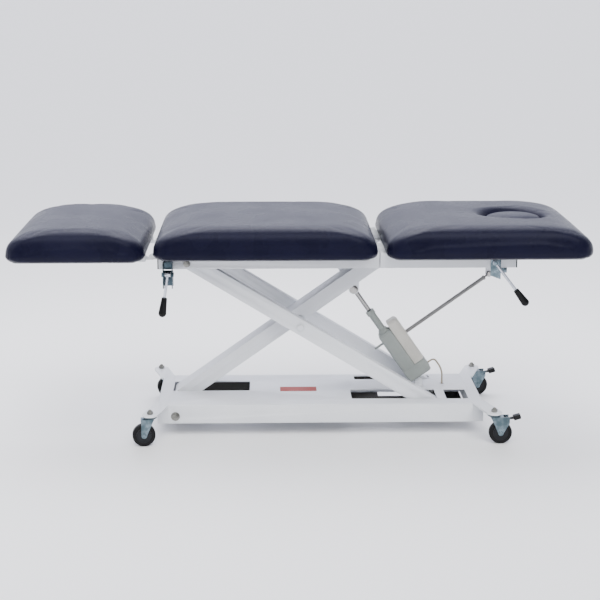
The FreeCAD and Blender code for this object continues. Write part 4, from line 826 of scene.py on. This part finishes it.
def fastener_tree():
    """Geometry Nodes: a screw head with its washer on every point, facing its attribute."""
    sizes = (("Head radius", 0.004), ("Head height", 0.0025), ("Washer radius", 0.006),
             ("Washer height", 0.0008))
    tree, source, target = new_shape_tree("fasteners", sizes, ("Sides",))
    head = tree.nodes.new("GeometryNodeMeshCylinder")
    tree.links.new(source["Sides"], head.inputs["Vertices"])
    tree.links.new(source["Head radius"], head.inputs["Radius"])
    tree.links.new(source["Head height"], head.inputs["Depth"])
    lift = tree.nodes.new("GeometryNodeTransform")
    tree.links.new(head.outputs["Mesh"], lift.inputs["Geometry"])
    up = tree.nodes.new("ShaderNodeCombineXYZ")
    half = maths(tree, "MULTIPLY", source["Head height"], 0.5)
    tree.links.new(maths(tree, "ADD", half, source["Washer height"]), up.inputs["Z"])
    tree.links.new(up.outputs[0], lift.inputs["Translation"])
    washer = tree.nodes.new("GeometryNodeMeshCylinder")
    washer.inputs["Vertices"].default_value = 24
    tree.links.new(source["Washer radius"], washer.inputs["Radius"])
    tree.links.new(source["Washer height"], washer.inputs["Depth"])
    seat = tree.nodes.new("GeometryNodeTransform")
    tree.links.new(washer.outputs["Mesh"], seat.inputs["Geometry"])
    low = tree.nodes.new("ShaderNodeCombineXYZ")
    tree.links.new(maths(tree, "MULTIPLY", source["Washer height"], 0.5), low.inputs["Z"])
    tree.links.new(low.outputs[0], seat.inputs["Translation"])
    pair = tree.nodes.new("GeometryNodeJoinGeometry")
    tree.links.new(lift.outputs["Geometry"], pair.inputs[0])
    tree.links.new(seat.outputs["Geometry"], pair.inputs[0])
    points = tree.nodes.new("GeometryNodeMeshToPoints")
    tree.links.new(source["Geometry"], points.inputs["Mesh"])
    facing = tree.nodes.new("GeometryNodeInputNamedAttribute")
    facing.data_type = "FLOAT_VECTOR"
    facing.inputs["Name"].default_value = "facing"
    turn = tree.nodes.new("FunctionNodeAlignRotationToVector")
    turn.axis = "Z"
    tree.links.new(facing.outputs["Attribute"], turn.inputs["Vector"])
    place = tree.nodes.new("GeometryNodeInstanceOnPoints")
    tree.links.new(points.outputs["Points"], place.inputs["Points"])
    tree.links.new(pair.outputs[0], place.inputs["Instance"])
    tree.links.new(turn.outputs["Rotation"], place.inputs["Rotation"])
    realize(tree, place.outputs["Instances"], source, target)
    return tree


def bead_tree():
    """Geometry Nodes: a weld bead of overlapping ripples along each line."""
    tree, source, target = new_shape_tree("weld_beads", (("Bead radius", WELD_RADIUS),
                                                         ("Ripple", WELD_RADIUS)))
    line = tree.nodes.new("GeometryNodeMeshToCurve")
    tree.links.new(source["Geometry"], line.inputs["Mesh"])
    steps = tree.nodes.new("GeometryNodeResampleCurve")
    steps.mode = "LENGTH"
    tree.links.new(line.outputs["Curve"], steps.inputs["Curve"])
    tree.links.new(source["Ripple"], steps.inputs["Length"])
    drop = tree.nodes.new("GeometryNodeMeshIcoSphere")
    drop.inputs["Subdivisions"].default_value = 2
    tree.links.new(source["Bead radius"], drop.inputs["Radius"])
    size = tree.nodes.new("FunctionNodeRandomValue")
    size.data_type = "FLOAT"
    size.inputs[2].default_value = 0.82
    size.inputs[3].default_value = 1.12
    size.inputs["Seed"].default_value = 7
    place = tree.nodes.new("GeometryNodeInstanceOnPoints")
    tree.links.new(steps.outputs["Curve"], place.inputs["Points"])
    tree.links.new(drop.outputs["Mesh"], place.inputs["Instance"])
    tree.links.new(size.outputs[1], place.inputs["Scale"])
    realize(tree, place.outputs["Instances"], source, target)
    return tree


FASTENERS = fastener_tree()
BEADS = bead_tree()


def grow(name, tree, mesh, body, slot, material, **sizes):
    """Runs a tree on a mesh and rides the plain result on a body."""
    obj = new_object(name, mesh, material)
    modifier = obj.modifiers.new("grow", "NODES")
    modifier.node_group = tree
    sockets = {item.name: item.identifier for item in tree.interface.items_tree
               if item.in_out == "INPUT"}
    for key, value in sizes.items():
        modifier[sockets[key.replace("_", " ")]] = value
    modifier[sockets["Finish"]] = material
    settle(obj)
    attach(obj, body)


def board_screws(name, body, places_x, board_top):
    """Rows of screw heads under a board, facing down."""
    places = [(x, y, board_top - BOARD_THICK) for x in places_x for y in SCREW_ROWS_Y]
    mesh = bpy.data.meshes.new(name)
    mesh.from_pydata(places, [], [])
    facing = mesh.attributes.new("facing", "FLOAT_VECTOR", "POINT")
    facing.data.foreach_set("vector", (0.0, 0.0, -1.0) * len(places))
    grow(name, FASTENERS, mesh, body, "zinc_plate", BOLT_ZINC, Sides=16)


def make_fasteners():
    """Screws of the three boards, and the welds at both ends of the base plate."""
    board_screws("middle_board_screws", "upper_frame", MIDDLE_SCREWS_X, PLATFORM_TOP)
    board_screws("back_board_screws", "back", BACK_SCREWS_X, PLATFORM_TOP)
    board_screws("leg_board_screws", "leg", LEG_SCREWS_X, LEG_BOARD_TOP)
    ends = [(x, y, BASE_TOP - WELD_DROP) for x in (BASE_FOOT_X, BASE_HEAD_X)
            for y in (-BASE_HALF_WIDTH, BASE_HALF_WIDTH)]
    mesh = bpy.data.meshes.new("base_welds")
    mesh.from_pydata(ends, [(0, 1), (2, 3)], [])
    grow("base_welds", BEADS, mesh, "base", "white_frame", BASE_WHITE, Bead_radius=WELD_RADIUS,
         Ripple=WELD_RADIUS)


def rounded_slab(name, low, high, radius, material):
    """A thin slab with round corners in plan."""
    mesh = bmesh.new()
    outline = []
    for side_x, side_y, start in ((1, -1, -90), (1, 1, 0), (-1, 1, 90), (-1, -1, 180)):
        centre_x = high[0] - radius if side_x > 0 else low[0] + radius
        centre_y = high[1] - radius if side_y > 0 else low[1] + radius
        for step in range(7):
            angle = math.radians(start + 15 * step)
            outline.append((centre_x + radius * math.cos(angle),
                            centre_y + radius * math.sin(angle)))
    lower = [mesh.verts.new((x, y, low[2])) for x, y in outline]
    upper = [mesh.verts.new((x, y, high[2])) for x, y in outline]
    mesh.faces.new(list(reversed(lower)))
    mesh.faces.new(upper)
    count = len(outline)
    for index in range(count):
        after = (index + 1) % count
        mesh.faces.new((lower[index], lower[after], upper[after], upper[index]))
    return new_object(name, plain_mesh(name, mesh), material)


def make_end_plates():
    """The plates that close the ends of the two crossbars."""
    for bar in ("foot_crossbar", "head_crossbar"):
        low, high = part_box(bar)
        centre = (low + high) / 2
        size = high - low
        for side, edge, inner in (("near", low.y, END_PLATE_THICK),
                                  ("far", high.y, -END_PLATE_THICK)):
            mesh = bmesh.new()
            bmesh.ops.create_cube(mesh, size=1.0)
            for vert in mesh.verts:
                vert.co.x = centre.x + vert.co.x * (size.x - END_PLATE_SHORT)
                vert.co.y = edge + inner * (vert.co.y + 0.1)
                vert.co.z = centre.z + vert.co.z * (size.z - END_PLATE_SHORT)
            bmesh.ops.recalc_face_normals(mesh, faces=mesh.faces)
            bmesh.ops.bevel(mesh, geom=mesh.edges[:], offset=END_PLATE_EASE, segments=2,
                            affect="EDGES")
            name = bar + "_end_" + side
            plate = new_object(name, plain_mesh(name, mesh), BASE_WHITE)
            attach(plate, "base")


def make_lever_web():
    """The folded web between the two cheeks of the leg lever's bracket."""
    low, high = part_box("leg_lever_bracket")
    web = rounded_slab("leg_lever_web", (low.x + 0.003, high.y - 0.0048, low.z + 0.004),
                       (high.x - 0.003, high.y - 0.0030, high.z - 0.030), 0.0006, DARK_ZINC)
    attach(web, "upper_frame")


def make_slot_shade():
    """Dark pieces in the far half of the base that paint the shade seen through the slots: a
    lining on the wall and low sheets.
    """
    low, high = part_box("base_side_far")
    pieces = [rounded_slab("base_inner_wall",
                           (low.x + SHADE_WALL_END_IN, high.y - 0.0046, low.z + SHADE_WALL_EDGE_IN),
                           (high.x - SHADE_WALL_END_IN, high.y - 0.0041, BASE_TOP - SHADE_WALL_EDGE_IN),
                           0.00022, SLOT_SHADE)]
    # Low dark sheets that paint the shadow under the base, seen through the slots
    for name, (start, end) in SHADE_SHEETS_X.items():
        near, far = SHADE_SHEET_MIDDLE_Y if name == "middle" else (SHADE_SHEET_FAR_Y, high.y - 0.015)
        pieces.append(rounded_slab("base_lower_sheet_" + name, (start, near, low.z + 0.0002),
                                   (end, far, low.z + 0.0010), 0.0004, SLOT_SHADE))
    for obj in pieces:
        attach(obj, "base")


def make_blank_strip():
    """A plain blank strip on the base plate."""
    strip = rounded_slab("blank_strip", STRIP_LOW, STRIP_HIGH, 0.002, BLANK_STRIP)
    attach(strip, "base")


def broad_sun(name, power, way, colour=(1.0, 1.0, 1.0)):
    """A very wide soft light that comes from one side."""
    light = bpy.data.lights.new(name, "SUN")
    light.energy = power
    light.color = colour
    light.angle = math.radians(60)
    obj = bpy.data.objects.new(name, light)
    bpy.context.scene.collection.objects.link(obj)
    obj.rotation_mode = "QUATERNION"
    obj.rotation_quaternion = Vector(way).to_track_quat("-Z", "Y")


def area_light(name, place, target, size, power):
    """A soft box aimed at a point."""
    light = bpy.data.lights.new(name, "AREA")
    light.shape = "RECTANGLE"
    light.size, light.size_y = size
    light.energy = power
    obj = bpy.data.objects.new(name, light)
    bpy.context.scene.collection.objects.link(obj)
    obj.location = place
    obj.rotation_mode = "QUATERNION"
    obj.rotation_quaternion = (Vector(target) - Vector(place)).to_track_quat("-Z", "Y")


def make_stage():
    """A pale floor, soft studio light and the camera."""
    mesh = bmesh.new()
    mesh.faces.new([mesh.verts.new((FLOOR_REACH * x, FLOOR_REACH * y, 0))
                    for x, y in ((-1, -1), (1, -1), (1, 1), (-1, 1))])
    material, _, _ = new_material("floor_white", Base_Color=rgb(0.93, 0.93, 0.94), Roughness=0.5)
    floor = new_object("studio_floor", plain_mesh("studio_floor", mesh), material)
    world = bpy.data.worlds.new("studio")
    bpy.context.scene.world = world
    world.use_nodes = True
    sky = world.node_tree
    background = next(n for n in sky.nodes if n.type == "BACKGROUND")
    place = sky.nodes.new("ShaderNodeTexCoord")
    parts = add(sky, "ShaderNodeSeparateXYZ", None, Vector=place.outputs["Generated"])
    behind = ramp(sky, parts.outputs["Y"], -0.25, 1.0)
    sky.links.new(blend_colour(sky, behind, rgb(0.07, 0.07, 0.08), rgb(0.84, 0.87, 1.0)),
                  background.inputs["Color"])
    background.inputs["Strength"].default_value = 1.7
    area_light("top_softbox", (-0.3, 0.9, 2.7), (0.0, 0.1, 0.5), (3.2, 1.8), 80)
    area_light("left_softbox", (-3.0, -0.6, 2.0), (-0.3, 0.0, 0.6), (1.6, 1.8), 30)
    broad_sun("front_key", 4.6, (-0.12, 0.62, -0.78))
    broad_sun("back_key", 1.0, (0.10, -0.66, -0.74), (0.80, 0.80, 1.0))
    camera = bpy.data.cameras.new("camera")
    camera.lens = CAMERA_LENS
    camera.sensor_width = 36.0
    camera.clip_end = 200.0
    obj = bpy.data.objects.new("camera", camera)
    bpy.context.scene.collection.objects.link(obj)
    obj.location = CAMERA_PLACE
    forward = Vector((math.sin(CAMERA_YAW) * math.cos(CAMERA_PITCH),
                      math.cos(CAMERA_YAW) * math.cos(CAMERA_PITCH), -math.sin(CAMERA_PITCH)))
    obj.rotation_mode = "QUATERNION"
    obj.rotation_quaternion = forward.to_track_quat("-Z", "Y")
    bpy.context.scene.camera = obj


dress_nodes()
make_pads()
make_hubs()
make_fasteners()
make_end_plates()
make_lever_web()
make_slot_shade()
make_blank_strip()
make_stage()

bpy.context.view_layer.update()
